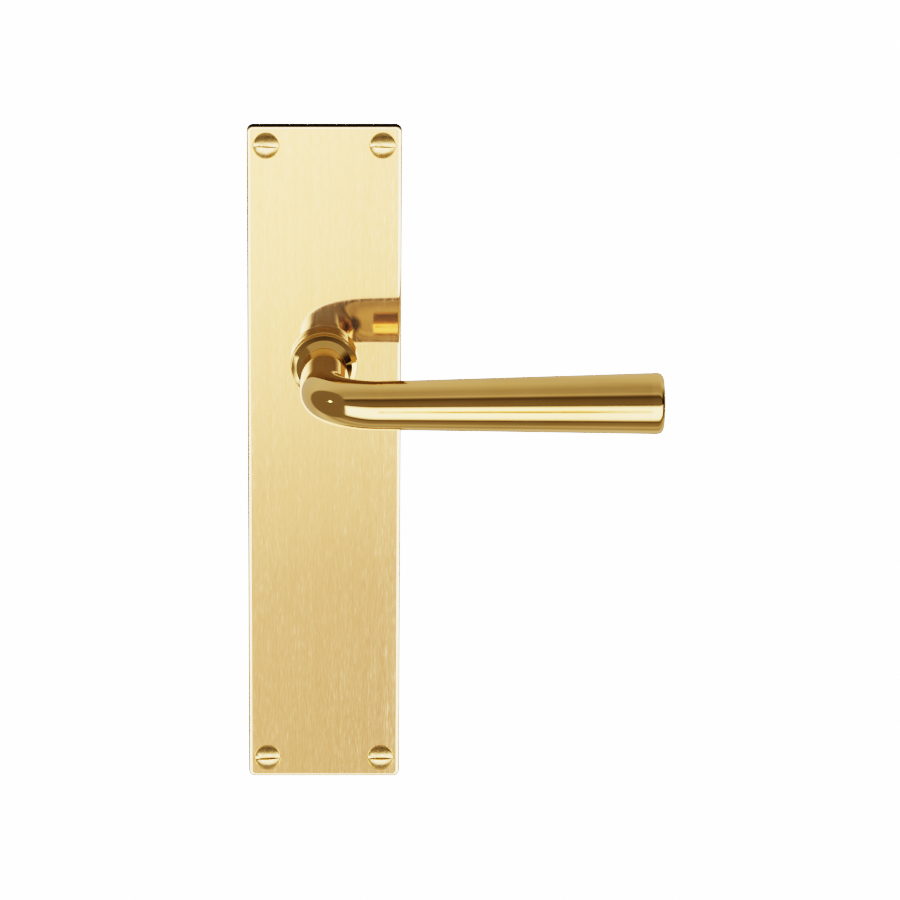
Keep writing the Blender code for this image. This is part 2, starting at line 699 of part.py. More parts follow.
def make_circlip(axis):
    """Open ring, thickest opposite its gap, with a lug at each end."""
    inner = CLIP_GROOVE_RADIUS + GAP
    start = CLIP_GROOVE_START + GAP
    end = CLIP_GROOVE_END - GAP
    half_gap = 24.0
    lug_span = 12.0
    lug_radius = 0.0104
    outline = []
    for step in range(25):
        angle = half_gap + (360.0 - 2.0 * half_gap) * step / 24
        outline.append(on_circle(inner, 90.0 + angle))
    outer_edge = []
    for step in range(17):
        angle = half_gap + lug_span + (360.0 - 2.0 * (half_gap + lug_span)) * step / 16
        bulge = 0.5 - 0.5 * math.cos(math.radians(angle))
        outer_edge.append(on_circle(0.0079 + 0.0009 * bulge, 90.0 + angle))
    for angle in (360.0 - half_gap, 360.0 - half_gap - lug_span):
        outline.append(on_circle(lug_radius, 90.0 + angle))
    outline += outer_edge[::-1]
    for angle in (half_gap + lug_span, half_gap):
        outline.append(on_circle(lug_radius, 90.0 + angle))
    clip = prism("shank_circlip", outline, start, end, "black_steel", parent=axis)
    for place, sign in (("left", -1), ("right", 1)):
        x, z = on_circle(0.0091, 90.0 + sign * (half_gap + lug_span / 2))
        tool = rod("cut_lug_hole_" + place, 0.0005, 0.0, 0.02, None, 10, (x, 0.0, SPINDLE_Z + z))
        cut(clip, as_cutter(tool))


def leg_points(angle, end_radius, y, side):
    """Radial leg and its bend into the coil, from the leg's free end inwards."""
    bend_offset = COIL_RADIUS + COIL_LEG_BEND
    lean = math.asin(COIL_LEG_BEND / bend_offset)
    bend_centre = bend_offset * math.cos(lean)
    flat = [(end_radius, 0.0), (bend_centre, 0.0)]
    steps = 4
    for step in range(1, steps + 1):
        turn = (math.pi / 2 - lean) * step / steps
        along = bend_centre - COIL_LEG_BEND * math.sin(turn)
        across = COIL_LEG_BEND * (1.0 - math.cos(turn))
        flat.append((along, across))
    points = []
    for along, across in flat:
        radius = math.hypot(along, across)
        offset = math.degrees(math.atan2(across, along))
        x, z = on_circle(radius, angle + side * offset)
        points.append((x, y, z))
    return points, math.degrees(lean)


def make_return_spring():
    """Torsion spring: fixed leg in the cup's wall, moving leg against the cam's tab."""
    clear = CAM_TAB_HALF_WIDTH + WIRE_RADIUS + GAP
    moving_angle = CAM_TAB_ANGLE + math.degrees(math.asin(clear / CAM_TAB_INNER))
    full_turn = moving_angle - FIXED_LEG_ANGLE + 360.0 * COIL_EXTRA_TURNS
    end_y = COIL_START_Y + COIL_PITCH * full_turn / 360.0
    first_leg, lean = leg_points(FIXED_LEG_ANGLE, FIXED_LEG_END, COIL_START_Y, 1)
    last_leg, lean = leg_points(moving_angle, MOVING_LEG_END, end_y, -1)
    coil = []
    coil_steps = 52
    for step in range(1, coil_steps):
        part = step / coil_steps
        angle = FIXED_LEG_ANGLE + lean + (full_turn - 2.0 * lean) * part
        x, z = on_circle(COIL_RADIUS, angle)
        coil.append((x, COIL_START_Y + (end_y - COIL_START_Y) * part, z))
    points = first_leg + coil + last_leg[::-1]
    curve = bpy.data.curves.new("return_spring", "CURVE")
    curve.dimensions = "3D"
    curve.bevel_depth = WIRE_RADIUS
    curve.bevel_resolution = 2
    curve.use_fill_caps = True
    spline = curve.splines.new("POLY")
    spline.points.add(len(points) - 1)
    for slot, (x, y, z) in zip(spline.points, points):
        slot.co = (x, y, z, 1.0)
    curve.materials.append(make_material("bright_steel"))
    spring = bpy.data.objects.new("return_spring", curve)
    bpy.context.collection.objects.link(spring)
    spring.location = AXIS_POINT


# ---------------------------------------------------------------------------- assembly


def main():
    clear_scene()
    axis = bpy.data.objects.new("lever_axis", None)
    bpy.context.collection.objects.link(axis)
    axis.location = AXIS_POINT

    make_backplate()
    for place, x, z in plate_screw_places():
        make_plate_screw(place, x, z)
    make_fixed_collar()
    make_bearings()
    make_lock_nut()
    make_lever(axis)
    make_spindle(axis)
    make_grub_screw(axis)
    make_spring_housing()
    make_housing_cover()
    for place, z in cassette_screw_places():
        make_cassette_screw(place, z)
    make_drive_cam(axis)
    make_wave_washer(axis)
    make_circlip(axis)
    make_return_spring()


main()
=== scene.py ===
"""Looks for the sprung lever handle: finer pieces, finishes, light and camera.

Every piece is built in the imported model's frame: metres, +Z up, the door's face is the
plane y = 0, the handle stands out towards -Y and the lever points to +X.
"""

import json
import math

import bmesh
import bpy
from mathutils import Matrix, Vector


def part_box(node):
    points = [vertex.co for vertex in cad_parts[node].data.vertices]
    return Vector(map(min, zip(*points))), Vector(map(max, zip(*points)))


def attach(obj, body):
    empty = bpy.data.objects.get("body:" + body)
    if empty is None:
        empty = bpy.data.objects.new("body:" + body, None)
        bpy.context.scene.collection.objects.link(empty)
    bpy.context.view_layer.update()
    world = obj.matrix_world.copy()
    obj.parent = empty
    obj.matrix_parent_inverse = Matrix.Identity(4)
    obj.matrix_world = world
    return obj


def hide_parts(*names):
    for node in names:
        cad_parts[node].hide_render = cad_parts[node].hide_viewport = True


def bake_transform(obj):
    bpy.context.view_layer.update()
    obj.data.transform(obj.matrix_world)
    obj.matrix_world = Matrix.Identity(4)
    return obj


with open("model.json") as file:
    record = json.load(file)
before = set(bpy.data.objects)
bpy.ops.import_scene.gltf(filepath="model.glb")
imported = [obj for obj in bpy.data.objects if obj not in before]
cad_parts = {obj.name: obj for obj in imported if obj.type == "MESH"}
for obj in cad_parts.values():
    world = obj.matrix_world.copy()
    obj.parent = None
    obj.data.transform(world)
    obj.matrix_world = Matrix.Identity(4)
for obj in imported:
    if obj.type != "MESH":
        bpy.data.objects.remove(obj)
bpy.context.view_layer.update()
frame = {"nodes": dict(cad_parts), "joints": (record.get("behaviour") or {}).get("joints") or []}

# -------- sizes from the frame

PLATE_LOW, PLATE_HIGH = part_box("backplate")
COLLAR_LOW, COLLAR_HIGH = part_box("fixed_collar")
LEVER_LOW, LEVER_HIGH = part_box("lever")
SPINDLE_LOW, SPINDLE_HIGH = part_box("spindle")
SLEEVE_LOW, SLEEVE_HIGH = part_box("bearing_sleeve")
WASHER_LOW, WASHER_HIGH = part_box("thrust_washer")
NUT_LOW, NUT_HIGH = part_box("collar_lock_nut")
HOUSING_LOW, HOUSING_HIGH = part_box("spring_housing")
COVER_LOW, COVER_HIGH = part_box("housing_cover")
CLIP_LOW, CLIP_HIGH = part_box("shank_circlip")
CAM_LOW, CAM_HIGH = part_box("drive_cam")

AXIS = Vector(frame["joints"][0]["pos_m"])
PLATE_FRONT = PLATE_LOW.y
GAP = 0.0003  # running clearance, as in the CAD
THROUGH = 0.01  # reach of a long cutting tool from the door's face
CUT_OVER = 0.001  # how far a tool stands past the surface it cuts from

PLATE_CORNER_RADIUS = 0.0022
PLATE_EDGE_ROUND = 0.0009
PLATE_BORE_RADIUS = 0.0100

COLLAR_RADIUS = COLLAR_HIGH.x
COLLAR_FRONT = COLLAR_LOW.y
COLLAR_SPIGOT_RADIUS = 0.0097
COLLAR_BORE_RADIUS = 0.0084
THRUST_RECESS_RADIUS = 0.0093
THRUST_RECESS_DEPTH = 0.0008

SHANK_RADIUS = 0.0070
SHANK_END = LEVER_HIGH.y
SHANK_END_INNER = 0.0055  # first ring of the lever's end face
SHANK_FLAT_START = 0.0050
SHANK_FLAT_HALF = 0.0058
CLIP_GROOVE_RADIUS = 0.0064
CLIP_GROOVE_START = 0.0098
CLIP_GROOVE_END = 0.0112
SHOULDER_BACK = COLLAR_FRONT - GAP
SHOULDER_RADIUS = 0.01055
RIM_LENGTH = 0.0021
BELL_START = -0.0111
BELL_RADIUS = 0.0090
NECK_START = -0.0130
NECK_LEAD = 0.0003
NECK_RADIUS = 0.0070
NECK_FLARE_LENGTH = 0.0157
ELBOW_RADIUS = 0.0077
BEND_RADIUS = 0.0172
TIP_RADIUS = 0.0097
TIP_ROUND = 0.0022
TIP_DOME = 0.0005
TIP_CENTRE_RADIUS = 0.0002  # last ring of the lever's end face
GRIP_RISE = 0.0007
GRIP_Y = LEVER_LOW.y + TIP_RADIUS
LEVER_REACH = LEVER_HIGH.x

SPINDLE_HALF = SPINDLE_HIGH.x
SPINDLE_CHAMFER = 0.0006
SPINDLE_EDGE_ROUND = 0.0003
GRUB_Y = -0.0165
GRUB_HOLE_RADIUS = 0.0026

SCREW_HEAD_RADIUS = 0.0042
SCREW_SHANK_RADIUS = 0.00225
SCREW_DOME = 0.0012
SCREW_DOME_POWER = 2.2  # 2 would be a parabola: more is flatter in the middle
SCREW_HEAD_EDGE = 0.00012
SCREW_SLOT_WIDTH = 0.0011
SCREW_SLOT_DEPTH = 0.0014
SCREW_PLAY = 0.00012
THREAD_START = 0.0045
THREAD_PITCH = 0.0018
THREAD_RIDGE = 0.00048
THREAD_STEPS = 14  # rings in one turn of the thread
SCREW_POINT_LENGTH = 0.006
SCREW_POINT_BLUNT = 0.0002
SCREW_POINT_POWER = 0.8
SCREW_RIDGE_FADE = 2.5  # keeps the ridge high until close to the point

CASSETTE_RADIUS = HOUSING_HIGH.x
EAR_OFFSET = 0.0208
EAR_RADIUS = HOUSING_HIGH.z - AXIS.z - EAR_OFFSET
CASSETTE_HOLE_RADIUS = 0.0018
HOUSING_WALL = 0.0012
HOUSING_EDGE = 0.00015  # widths of the rounded edges, here and below
COVER_EDGE = 0.00012
COVER_OPENING_RADIUS = 0.0114
CASSETTE_SCREW_RADIUS = 0.0015
CASSETTE_HEAD_RADIUS = 0.00275
CASSETTE_HEAD_HEIGHT = 0.0018
CASSETTE_SLOT_HALF = 0.0004
CASSETTE_SLOT_DEPTH = 0.0009
CASSETTE_SLOT_TURN = 25.0
NUT_SLOT_HALF = 0.001
NUT_SLOT_DEPTH = 0.0009

CAM_RADIUS = 0.0150
CAM_FRONT = 0.0080
CAM_EDGE = 0.0001
CAM_HUB_RADIUS = 0.0100
CAM_TAB_ANGLE = 160.0
CAM_TAB_HALF_WIDTH = 0.0012
CAM_TAB_INNER = 0.0153
CAM_TAB_OUTER = 0.0172
CAM_FOLD_FRONT = 0.0059  # of the tab's folded end, which the spring's leg pushes
CAM_FOLD_INSET = 0.0001
LEVER_TRAVEL = 40.0
STOP_PIN_RADIUS = 0.0010
STOP_PIN_OFFSET = 0.0163

WIRE_RADIUS = 0.0007
COIL_RADIUS = 0.0140
COIL_PITCH = 0.00175
COIL_START_Y = 0.0026
COIL_LEG_BEND = 0.0020
FIXED_LEG_ANGLE = 20.0
FIXED_LEG_END = 0.0189
MOVING_LEG_END = 0.0169
COIL_EXTRA_TURNS = 2

CLIP_HALF_GAP = 24.0
CLIP_LUG_SPAN = 12.0
CLIP_LUG_RADIUS = 0.0104
CLIP_THIN_RADIUS = 0.0079  # outside, beside the lugs
CLIP_BULGE = 0.0009  # how much further out it stands opposite the gap
CLIP_HOLE_RADIUS = 0.0005
CLIP_HOLE_OFFSET = 0.0091
CLIP_EDGE = 0.00006

SLEEVE_BORE_RADIUS = 0.0073
WASHER_BORE_RADIUS = 0.0076
SCREW_TURNS = (3.0, 2.0, -3.0, 0.0)  # of each slot, in degrees from level

FLOOR_HALF = 0.5
FLOOR_CORNER = 0.1
FLOOR_DROP = 0.5  # the handle hangs on its door, well above the floor

FINE = 160  # segments of the large polished rings
MEDIUM = 96
SMALL = 48
SMALLEST = 32
DRILLED = 24  # of the finest drilled holes
SHARP_ANGLE = 30.0  # edges sharper than this aren't shaded smooth
SQUARE = ((1, 1), (-1, 1), (-1, -1), (1, -1))

# -------- node helpers


class Nodes:
    """Short way to build a node tree: each call adds a node and links its inputs."""

    def __init__(self, tree):
        self.tree = tree

    def add(self, kind, inputs=None, **settings):
        node = self.tree.nodes.new(kind)
        for key, value in settings.items():
            setattr(node, key, value)
        for key, value in (inputs or {}).items():
            socket = node.inputs[key]
            if isinstance(value, bpy.types.NodeSocket):
                self.tree.links.new(value, socket)
            else:
                socket.default_value = value
        return node

    def math(self, operation, first, second=0.0):
        node = self.add("ShaderNodeMath", {0: first, 1: second}, operation=operation)
        return node.outputs[0]

    def ramp(self, value, stops, interpolation="LINEAR"):
        """Colour ramp from (position, grey level or colour) stops."""
        node = self.add("ShaderNodeValToRGB", {"Fac": value})
        ramp = node.color_ramp
        ramp.interpolation = interpolation
        while len(ramp.elements) < len(stops):
            ramp.elements.new(0.5)
        for element, (position, level) in zip(ramp.elements, stops):
            element.position = position
            colour = (level, level, level) if isinstance(level, float) else level
            element.color = (*colour, 1.0)
        return node.outputs["Color"]

    def scale(self, value, low, high):
        """Map a 0 to 1 value onto low to high."""
        node = self.add("ShaderNodeMapRange", {"Value": value, "To Min": low, "To Max": high})
        return node.outputs["Result"]

    def noise(self, place, scale, detail=3.0, roughness=0.55):
        inputs = {"Vector": place, "Scale": scale, "Detail": detail, "Roughness": roughness}
        return self.add("ShaderNodeTexNoise", inputs).outputs["Fac"]

    def stretched(self, place, factors):
        node = self.add("ShaderNodeMapping", {"Vector": place, "Scale": factors})
        return node.outputs["Vector"]


def new_material(name):
    """Empty Principled material with its node helper, shader and object coordinates."""
    material = bpy.data.materials.new(name)
    material.use_nodes = True
    nodes = Nodes(material.node_tree)
    shader = material.node_tree.nodes["Principled BSDF"]
    place = nodes.add("ShaderNodeTexCoord").outputs["Object"]
    return material, nodes, shader, place


def mix_colours(nodes, factor, first, second):
    """Colour between two sockets or fixed colours."""
    node = nodes.add("ShaderNodeMix", data_type="RGBA")
    nodes.tree.links.new(factor, node.inputs[0])
    for socket, value in ((node.inputs[6], first), (node.inputs[7], second)):
        if isinstance(value, bpy.types.NodeSocket):
            nodes.tree.links.new(value, socket)
        else:
            socket.default_value = (*value, 1.0)
    return node.outputs[2]


def set_bump(nodes, shader, height, strength, distance):
    inputs = {"Height": height, "Strength": strength, "Distance": distance}
    bump = nodes.add("ShaderNodeBump", inputs)
    nodes.tree.links.new(bump.outputs["Normal"], shader.inputs["Normal"])


def set_shader(nodes, shader, colour, roughness, metallic=1.0):
    nodes.tree.links.new(colour, shader.inputs["Base Color"])
    nodes.tree.links.new(roughness, shader.inputs["Roughness"])
    shader.inputs["Metallic"].default_value = metallic


# -------- materials

BRASS = (0.88, 0.67, 0.39)
BRASS_DEEP = (0.82, 0.60, 0.33)
BRASS_WORN = (0.94, 0.74, 0.45)
POLISH_DEEP = (0.85, 0.56, 0.235)
POLISH_PALE = (0.89, 0.595, 0.27)
POLISH_SMOOTH = 0.06
POLISH_MARKED = 0.12


def brushed_brass():
    """Lacquered brass plate: mirror bright under a fine upright grain."""
    material, nodes, shader, place = new_material("brushed_brass")
    fine = nodes.noise(nodes.stretched(place, (1.0, 1.0, 0.10)), 2600.0, 3.0, 0.6)
    broad = nodes.noise(nodes.stretched(place, (1.0, 1.0, 0.03)), 600.0, 3.0, 0.6)
    cloud = nodes.noise(place, 30.0, 3.0)
    grain = nodes.math("ADD", nodes.math("MULTIPLY", fine, 0.7), nodes.math("MULTIPLY", broad, 0.3))
    tone = nodes.ramp(grain, [(0.34, BRASS_DEEP), (0.52, BRASS), (0.70, BRASS_WORN)])
    mottle = nodes.ramp(cloud, [(0.30, BRASS_DEEP), (0.70, BRASS)])
    colour = mix_colours(nodes, nodes.scale(cloud, 0.05, 0.20), tone, mottle)
    rough = nodes.ramp(grain, [(0.38, 0.035), (0.56, 0.05), (0.70, 0.09)])
    set_shader(nodes, shader, colour, rough)
    shader.inputs["Coat Weight"].default_value = 1.0
    shader.inputs["Coat Roughness"].default_value = 0.40
    set_bump(nodes, shader, grain, 0.03, 0.00001)
    return material


def polished_brass(name, along, scratch_scale):
    """Mirror brass with faint wiping marks and slow changes of tone."""
    material, nodes, shader, place = new_material(name)
    marks = nodes.noise(nodes.stretched(place, along), scratch_scale, 3.0, 0.6)
    cloud = nodes.noise(place, 60.0, 3.0)
    colour = nodes.ramp(cloud, [(0.30, POLISH_DEEP), (0.70, POLISH_PALE)])
    rough = nodes.ramp(marks, [(0.45, POLISH_SMOOTH), (0.72, POLISH_MARKED)])
    set_shader(nodes, shader, colour, rough)
    set_bump(nodes, shader, marks, 0.05, 0.000006)
    return material


def turned_brass(name):
    """Screw brass: rings left by the lathe and small dark marks."""
    material, nodes, shader, place = new_material(name)
    flat = nodes.stretched(place, (1.0, 0.0, 1.0))
    inputs = {"Vector": flat, "Scale": 700.0, "Distortion": 0.5, "Detail": 2.0, "Detail Scale": 2.0}
    rings = nodes.add("ShaderNodeTexWave", inputs, wave_type="RINGS", rings_direction="SPHERICAL")
    dents = nodes.noise(place, 900.0, 4.0, 0.65)
    stops = [(0.30, (0.72, 0.47, 0.21)), (0.55, (0.86, 0.60, 0.29)), (0.75, BRASS_WORN)]
    tone = nodes.ramp(dents, stops)
    rough = nodes.ramp(dents, [(0.35, 0.34), (0.60, 0.20)])
    set_shader(nodes, shader, tone, rough)
    height = nodes.math("ADD", rings.outputs["Fac"], nodes.math("MULTIPLY", dents, 2.0))
    set_bump(nodes, shader, height, 0.3, 0.00001)
    return material


def plain_metal(name, tones, along, scale, roughness, bump=0.00001, metallic=1.0):
    """Metal with a directional scratch pattern between a dark and a light tone."""
    dark, light = tones
    low, high = roughness
    material, nodes, shader, place = new_material(name)
    marks = nodes.noise(nodes.stretched(place, along), scale, 4.0, 0.6)
    blotch = nodes.noise(place, 160.0, 3.0)
    mixed = nodes.math("ADD", nodes.math("MULTIPLY", marks, 0.6), nodes.math("MULTIPLY", blotch, 0.4))
    colour = nodes.ramp(mixed, [(0.35, dark), (0.65, light)])
    rough = nodes.ramp(marks, [(0.35, high), (0.65, low)])
    set_shader(nodes, shader, colour, rough, metallic)
    set_bump(nodes, shader, marks, 0.3, bump)
    return material


def zinc_plate(name):
    """Passivated zinc: pale blue with straw coloured clouds and a fine pressed grain."""
    material, nodes, shader, place = new_material(name)
    cloud = nodes.noise(place, 90.0, 4.0, 0.6)
    grain = nodes.noise(place, 2600.0, 3.0, 0.6)
    stops = [(0.32, (0.50, 0.55, 0.62)), (0.52, (0.64, 0.65, 0.66)), (0.70, (0.70, 0.66, 0.56))]
    colour = nodes.ramp(cloud, stops)
    rough = nodes.ramp(grain, [(0.35, 0.24), (0.68, 0.42)])
    set_shader(nodes, shader, colour, rough)
    set_bump(nodes, shader, grain, 0.25, 0.00002)
    return material


def moulded_nylon(name):
    """Natural nylon with a slight moulding texture."""
    material, nodes, shader, place = new_material(name)
    grain = nodes.noise(place, 1500.0, 3.0)
    colour = nodes.ramp(grain, [(0.35, (0.80, 0.78, 0.71)), (0.65, (0.86, 0.85, 0.80))])
    rough = nodes.ramp(grain, [(0.35, 0.42), (0.65, 0.55)])
    set_shader(nodes, shader, colour, rough, 0.0)
    shader.inputs["Subsurface Weight"].default_value = 0.15
    shader.inputs["Subsurface Radius"].default_value = (0.0012, 0.0011, 0.0009)
    set_bump(nodes, shader, grain, 0.15, 0.00002)
    return material


# How a scratch pattern is stretched: a small factor draws it out along that axis.
EVEN = (1.0, 1.0, 1.0)
ALONG_X = (0.03, 1.0, 1.0)
ALONG_Y = (1.0, 0.03, 1.0)
PLATE_END_GRAIN = (1.0, 0.1, 1.0)
LATHE_COARSE = (1.0, 6.0, 1.0)
LATHE_FINE = (1.0, 8.0, 1.0)

DRAWN_TONES = ((0.50, 0.50, 0.51), (0.68, 0.68, 0.69))
WIRE_TONES = ((0.42, 0.42, 0.43), (0.66, 0.66, 0.66))
GROUND_TONES = ((0.55, 0.55, 0.56), (0.72, 0.72, 0.72))
OXIDE_TONES = ((0.035, 0.035, 0.04), (0.08, 0.078, 0.075))
# Painted shade: near-black colours that the plate's top and bottom ends get in place of shade.
END_SHADE_TONES = ((0.012, 0.008, 0.004), (0.030, 0.020, 0.010))

PLATE_FINISH = brushed_brass()
LEVER_FINISH = polished_brass("lever_brass", ALONG_X, 2400.0)
COLLAR_FINISH = polished_brass("collar_brass", LATHE_COARSE, 900.0)
SCREW_FINISH = turned_brass("screw_brass")
NUT_FINISH = turned_brass("nut_brass")
SPINDLE_FINISH = plain_metal("drawn_steel", DRAWN_TONES, ALONG_Y, 2500.0, (0.18, 0.38))
SPRING_FINISH = plain_metal("spring_steel", WIRE_TONES, EVEN, 1400.0, (0.16, 0.34))
PIN_FINISH = plain_metal("ground_steel", GROUND_TONES, LATHE_FINE, 1400.0, (0.14, 0.30))
BLACK_FINISH = plain_metal("black_oxide", OXIDE_TONES, EVEN, 900.0, (0.35, 0.55), 0.00002, 0.85)
ZINC_FINISH = zinc_plate("zinc_plate")
CAM_FINISH = zinc_plate("cam_zinc_plate")
NYLON_FINISH = moulded_nylon("moulded_nylon")
# Painted shade: the material that colours the plate's top and bottom ends near black.
END_SHADE_FINISH = plain_metal("plate_end_painted_shade", END_SHADE_TONES, PLATE_END_GRAIN, 2500.0, (0.35, 0.55))
SHADED_END_TILT = 0.5  # a normal with more of Z than this is on a top or bottom end, which gets painted shade

# -------- mesh helpers


def add_object(name, mesh_data, location=(0.0, 0.0, 0.0)):
    """Object from an edited mesh, smooth except over sharp edges."""
    bmesh.ops.recalc_face_normals(mesh_data, faces=mesh_data.faces)
    mesh = bpy.data.meshes.new(name)
    mesh_data.to_mesh(mesh)
    mesh_data.free()
    mesh.shade_smooth()
    mesh.set_sharp_from_angle(angle=math.radians(SHARP_ANGLE))
    piece = bpy.data.objects.new(name, mesh)
    bpy.context.scene.collection.objects.link(piece)
    piece.location = location
    return piece


def bake_modifiers(piece):
    """Replace the piece's mesh by what its modifiers make of it."""
    graph = bpy.context.evaluated_depsgraph_get()
    mesh = bpy.data.meshes.new_from_object(piece.evaluated_get(graph))
    piece.modifiers.clear()
    piece.data = mesh


def combine(piece, tools, operation):
    """Join closed tools to a piece or cut them out of it, then remove them."""
    for tool in tools:
        modifier = piece.modifiers.new("combine", "BOOLEAN")
        modifier.operation = operation
        modifier.solver = "EXACT"
        modifier.object = tool
    bake_modifiers(piece)
    for tool in tools:
        bpy.data.objects.remove(tool, do_unlink=True)


def cut_away(piece, tools):
    combine(piece, tools, "DIFFERENCE")
    piece.data.shade_smooth()
    piece.data.set_sharp_from_angle(angle=math.radians(SHARP_ANGLE))


def soften_edges(piece, width, segments=3):
    """Round every edge sharper than the limit."""
    modifier = piece.modifiers.new("round", "BEVEL")
    modifier.width = width
    modifier.segments = segments
    modifier.limit_method = "ANGLE"
    modifier.angle_limit = math.radians(40.0)
    modifier.harden_normals = True
    bake_modifiers(piece)


def even_normals(piece):
    """Let large flat faces keep their own normal beside rounded edges."""
    modifier = piece.modifiers.new("normals", "WEIGHTED_NORMAL")
    modifier.keep_sharp = True
    modifier.weight = 100


def bridge(mesh_data, rings, closed=False):
    """Walls between rings, which run round to the first ring or end in a flat cap."""
    pairs = list(zip(rings, rings[1:]))
    if closed:
        pairs.append((rings[-1], rings[0]))
    for first, second in pairs:
        count = len(first)
        for index in range(count):
            after = (index + 1) % count
            mesh_data.faces.new((first[index], first[after], second[after], second[index]))
    if not closed:
        mesh_data.faces.new(rings[0])
        mesh_data.faces.new(rings[-1])


def section(mesh_data, outline, y):
    return [mesh_data.verts.new((x, y, z)) for x, z in outline]


def circle(mesh_data, y, radius, segments):
    ring = []
    for index in range(segments):
        angle = 2.0 * math.pi * index / segments
        ring.append(mesh_data.verts.new((radius * math.cos(angle), y, radius * math.sin(angle))))
    return ring


def rounded(corners, closed=False, steps=6):
    """Outline whose corners (a, b, radius) are replaced by arcs."""
    count = len(corners)
    points = []
    for index, (a, b, radius) in enumerate(corners):
        corner = Vector((a, b))
        at_end = not closed and index in (0, count - 1)
        if radius <= 0.0 or at_end:
            points.append((a, b))
            continue
        before = (Vector(corners[index - 1][:2]) - corner).normalized()
        after = (Vector(corners[(index + 1) % count][:2]) - corner).normalized()
        half = before.angle(after) / 2.0
        centre = corner + (before + after).normalized() * (radius / math.sin(half))
        start = corner + before * (radius / math.tan(half)) - centre
        end = corner + after * (radius / math.tan(half)) - centre
        sweep = math.pi - 2.0 * half
        turn = math.copysign(sweep, start.x * end.y - start.y * end.x)
        for step in range(steps + 1):
            angle = turn * step / steps
            across = start.x * math.cos(angle) - start.y * math.sin(angle)
            along = start.x * math.sin(angle) + start.y * math.cos(angle)
            points.append((centre.x + across, centre.y + along))
    return points


def rounded_rectangle(half_x, half_z, radius, steps):
    corners = [(sx * half_x, sz * half_z, radius) for sx, sz in SQUARE]
    return rounded(corners, closed=True, steps=steps)


def turned(name, outline, segments=MEDIUM, location=AXIS, closed=False):
    """Body turned about an axis along Y, from an outline of (y, radius)."""
    mesh_data = bmesh.new()
    rings = [circle(mesh_data, y, radius, segments) for y, radius in outline]
    bridge(mesh_data, rings, closed)
    return add_object(name, mesh_data, location)


def cylinder(radius, start, end, segments=SMALL, location=AXIS):
    return turned("tool", [(start, radius), (end, radius)], segments, location)


def prism(name, outline, start, end, location=AXIS):
    """Solid with an (x, z) outline, drawn out along Y."""
    mesh_data = bmesh.new()
    bridge(mesh_data, [section(mesh_data, outline, y) for y in (start, end)])
    return add_object(name, mesh_data, location)


def block(low, high, location=AXIS):
    """Box between two corners."""
    outline = ((low[0], low[2]), (high[0], low[2]), (high[0], high[2]), (low[0], high[2]))
    return prism("tool", outline, low[1], high[1], location)


def arc(centre, radius, start, end, steps):
    """Points of an arc between two angles in degrees."""
    points = []
    for step in range(steps + 1):
        angle = math.radians(start + (end - start) * step / steps)
        points.append((centre[0] + radius * math.cos(angle), centre[1] + radius * math.sin(angle)))
    return points


def on_circle(radius, angle):
    """(x, z) at an angle from +X towards -Z, the way the lever turns."""
    turn = math.radians(angle)
    return (radius * math.cos(turn), -radius * math.sin(turn))


def place_piece(piece, material, body, node):
    """Give a finished piece its material and body, and hide its CAD node."""
    piece.data.materials.clear()
    piece.data.materials.append(material)
    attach(piece, body)
    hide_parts(node)


# -------- backplate


def plate_outline(inset):
    """(x, z) outline of the plate, drawn in by an inset, with round corners."""
    half_x = PLATE_HIGH.x - inset
    half_z = PLATE_HIGH.z - inset
    radius = max(PLATE_CORNER_RADIUS - inset, 0.0002)
    return rounded_rectangle(half_x, half_z, radius, 10)


def screw_places():
    """CAD name and centre of each plate screw."""
    places = []
    for height in ("upper", "lower"):
        for side in ("left", "right"):
            name = "plate_screw_" + height + "_" + side
            low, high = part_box(name)
            centre = (low + high) / 2.0
            places.append((name, Vector((centre.x, 0.0, centre.z))))
    return places


def make_backplate():
    """Plate with eased edges, countersunk holes, the collar's bore and two blind holes."""
    back_round = 0.00025
    rim = 0.0004
    back_steps = 3
    layers = []
    for step in range(back_steps + 1):
        angle = math.pi / 2 * step / back_steps
        layers.append((-back_round * (1.0 - math.cos(angle)), back_round * (1.0 - math.sin(angle))))
    steps = 12
    for step in range(steps + 1):
        angle = math.pi / 2 * step / steps
        y = PLATE_FRONT + PLATE_EDGE_ROUND * (1.0 - math.sin(angle))
        layers.append((y, PLATE_EDGE_ROUND * (1.0 - math.cos(angle))))
    layers.append((PLATE_FRONT, PLATE_EDGE_ROUND + rim))
    mesh_data = bmesh.new()
    bridge(mesh_data, [section(mesh_data, plate_outline(inset), y) for y, inset in layers])
    plate = add_object("satin_backplate", mesh_data)

    over = CUT_OVER
    blind_depth = 0.002
    hole_radius = SCREW_SHANK_RADIUS + SCREW_PLAY
    cone_depth = SCREW_HEAD_RADIUS - SCREW_SHANK_RADIUS
    countersink = [
        (PLATE_FRONT - over, SCREW_HEAD_RADIUS + SCREW_PLAY + over),
        (PLATE_FRONT + cone_depth, hole_radius),
        (over, hole_radius),
    ]
    tools = [turned("tool", countersink, MEDIUM, centre) for _, centre in screw_places()]
    tools.append(cylinder(PLATE_BORE_RADIUS, -THROUGH, THROUGH, MEDIUM))
    for centre in ear_places():
        tools.append(cylinder(CASSETTE_HOLE_RADIUS, -blind_depth, over, SMALL, centre))
    cut_away(plate, tools)
    place_piece(plate, PLATE_FINISH, "plate", "backplate")
    # Painted shade: faces on the plate's top and bottom ends, not its sides, get the near-black
    # material.
    plate.data.materials.append(END_SHADE_FINISH)
    for face in plate.data.polygons:
        at_end = abs(face.center.z) > PLATE_HIGH.z - PLATE_EDGE_ROUND
        if at_end and abs(face.normal.z) > SHADED_END_TILT:
            face.material_index = 1


# -------- plate screws


def thread_height(phase):
    """Wood screw thread: a narrow ridge on a wide root, as a share of its height."""
    return max(0.0, 1.0 - abs(phase - 0.5) * 4.0)


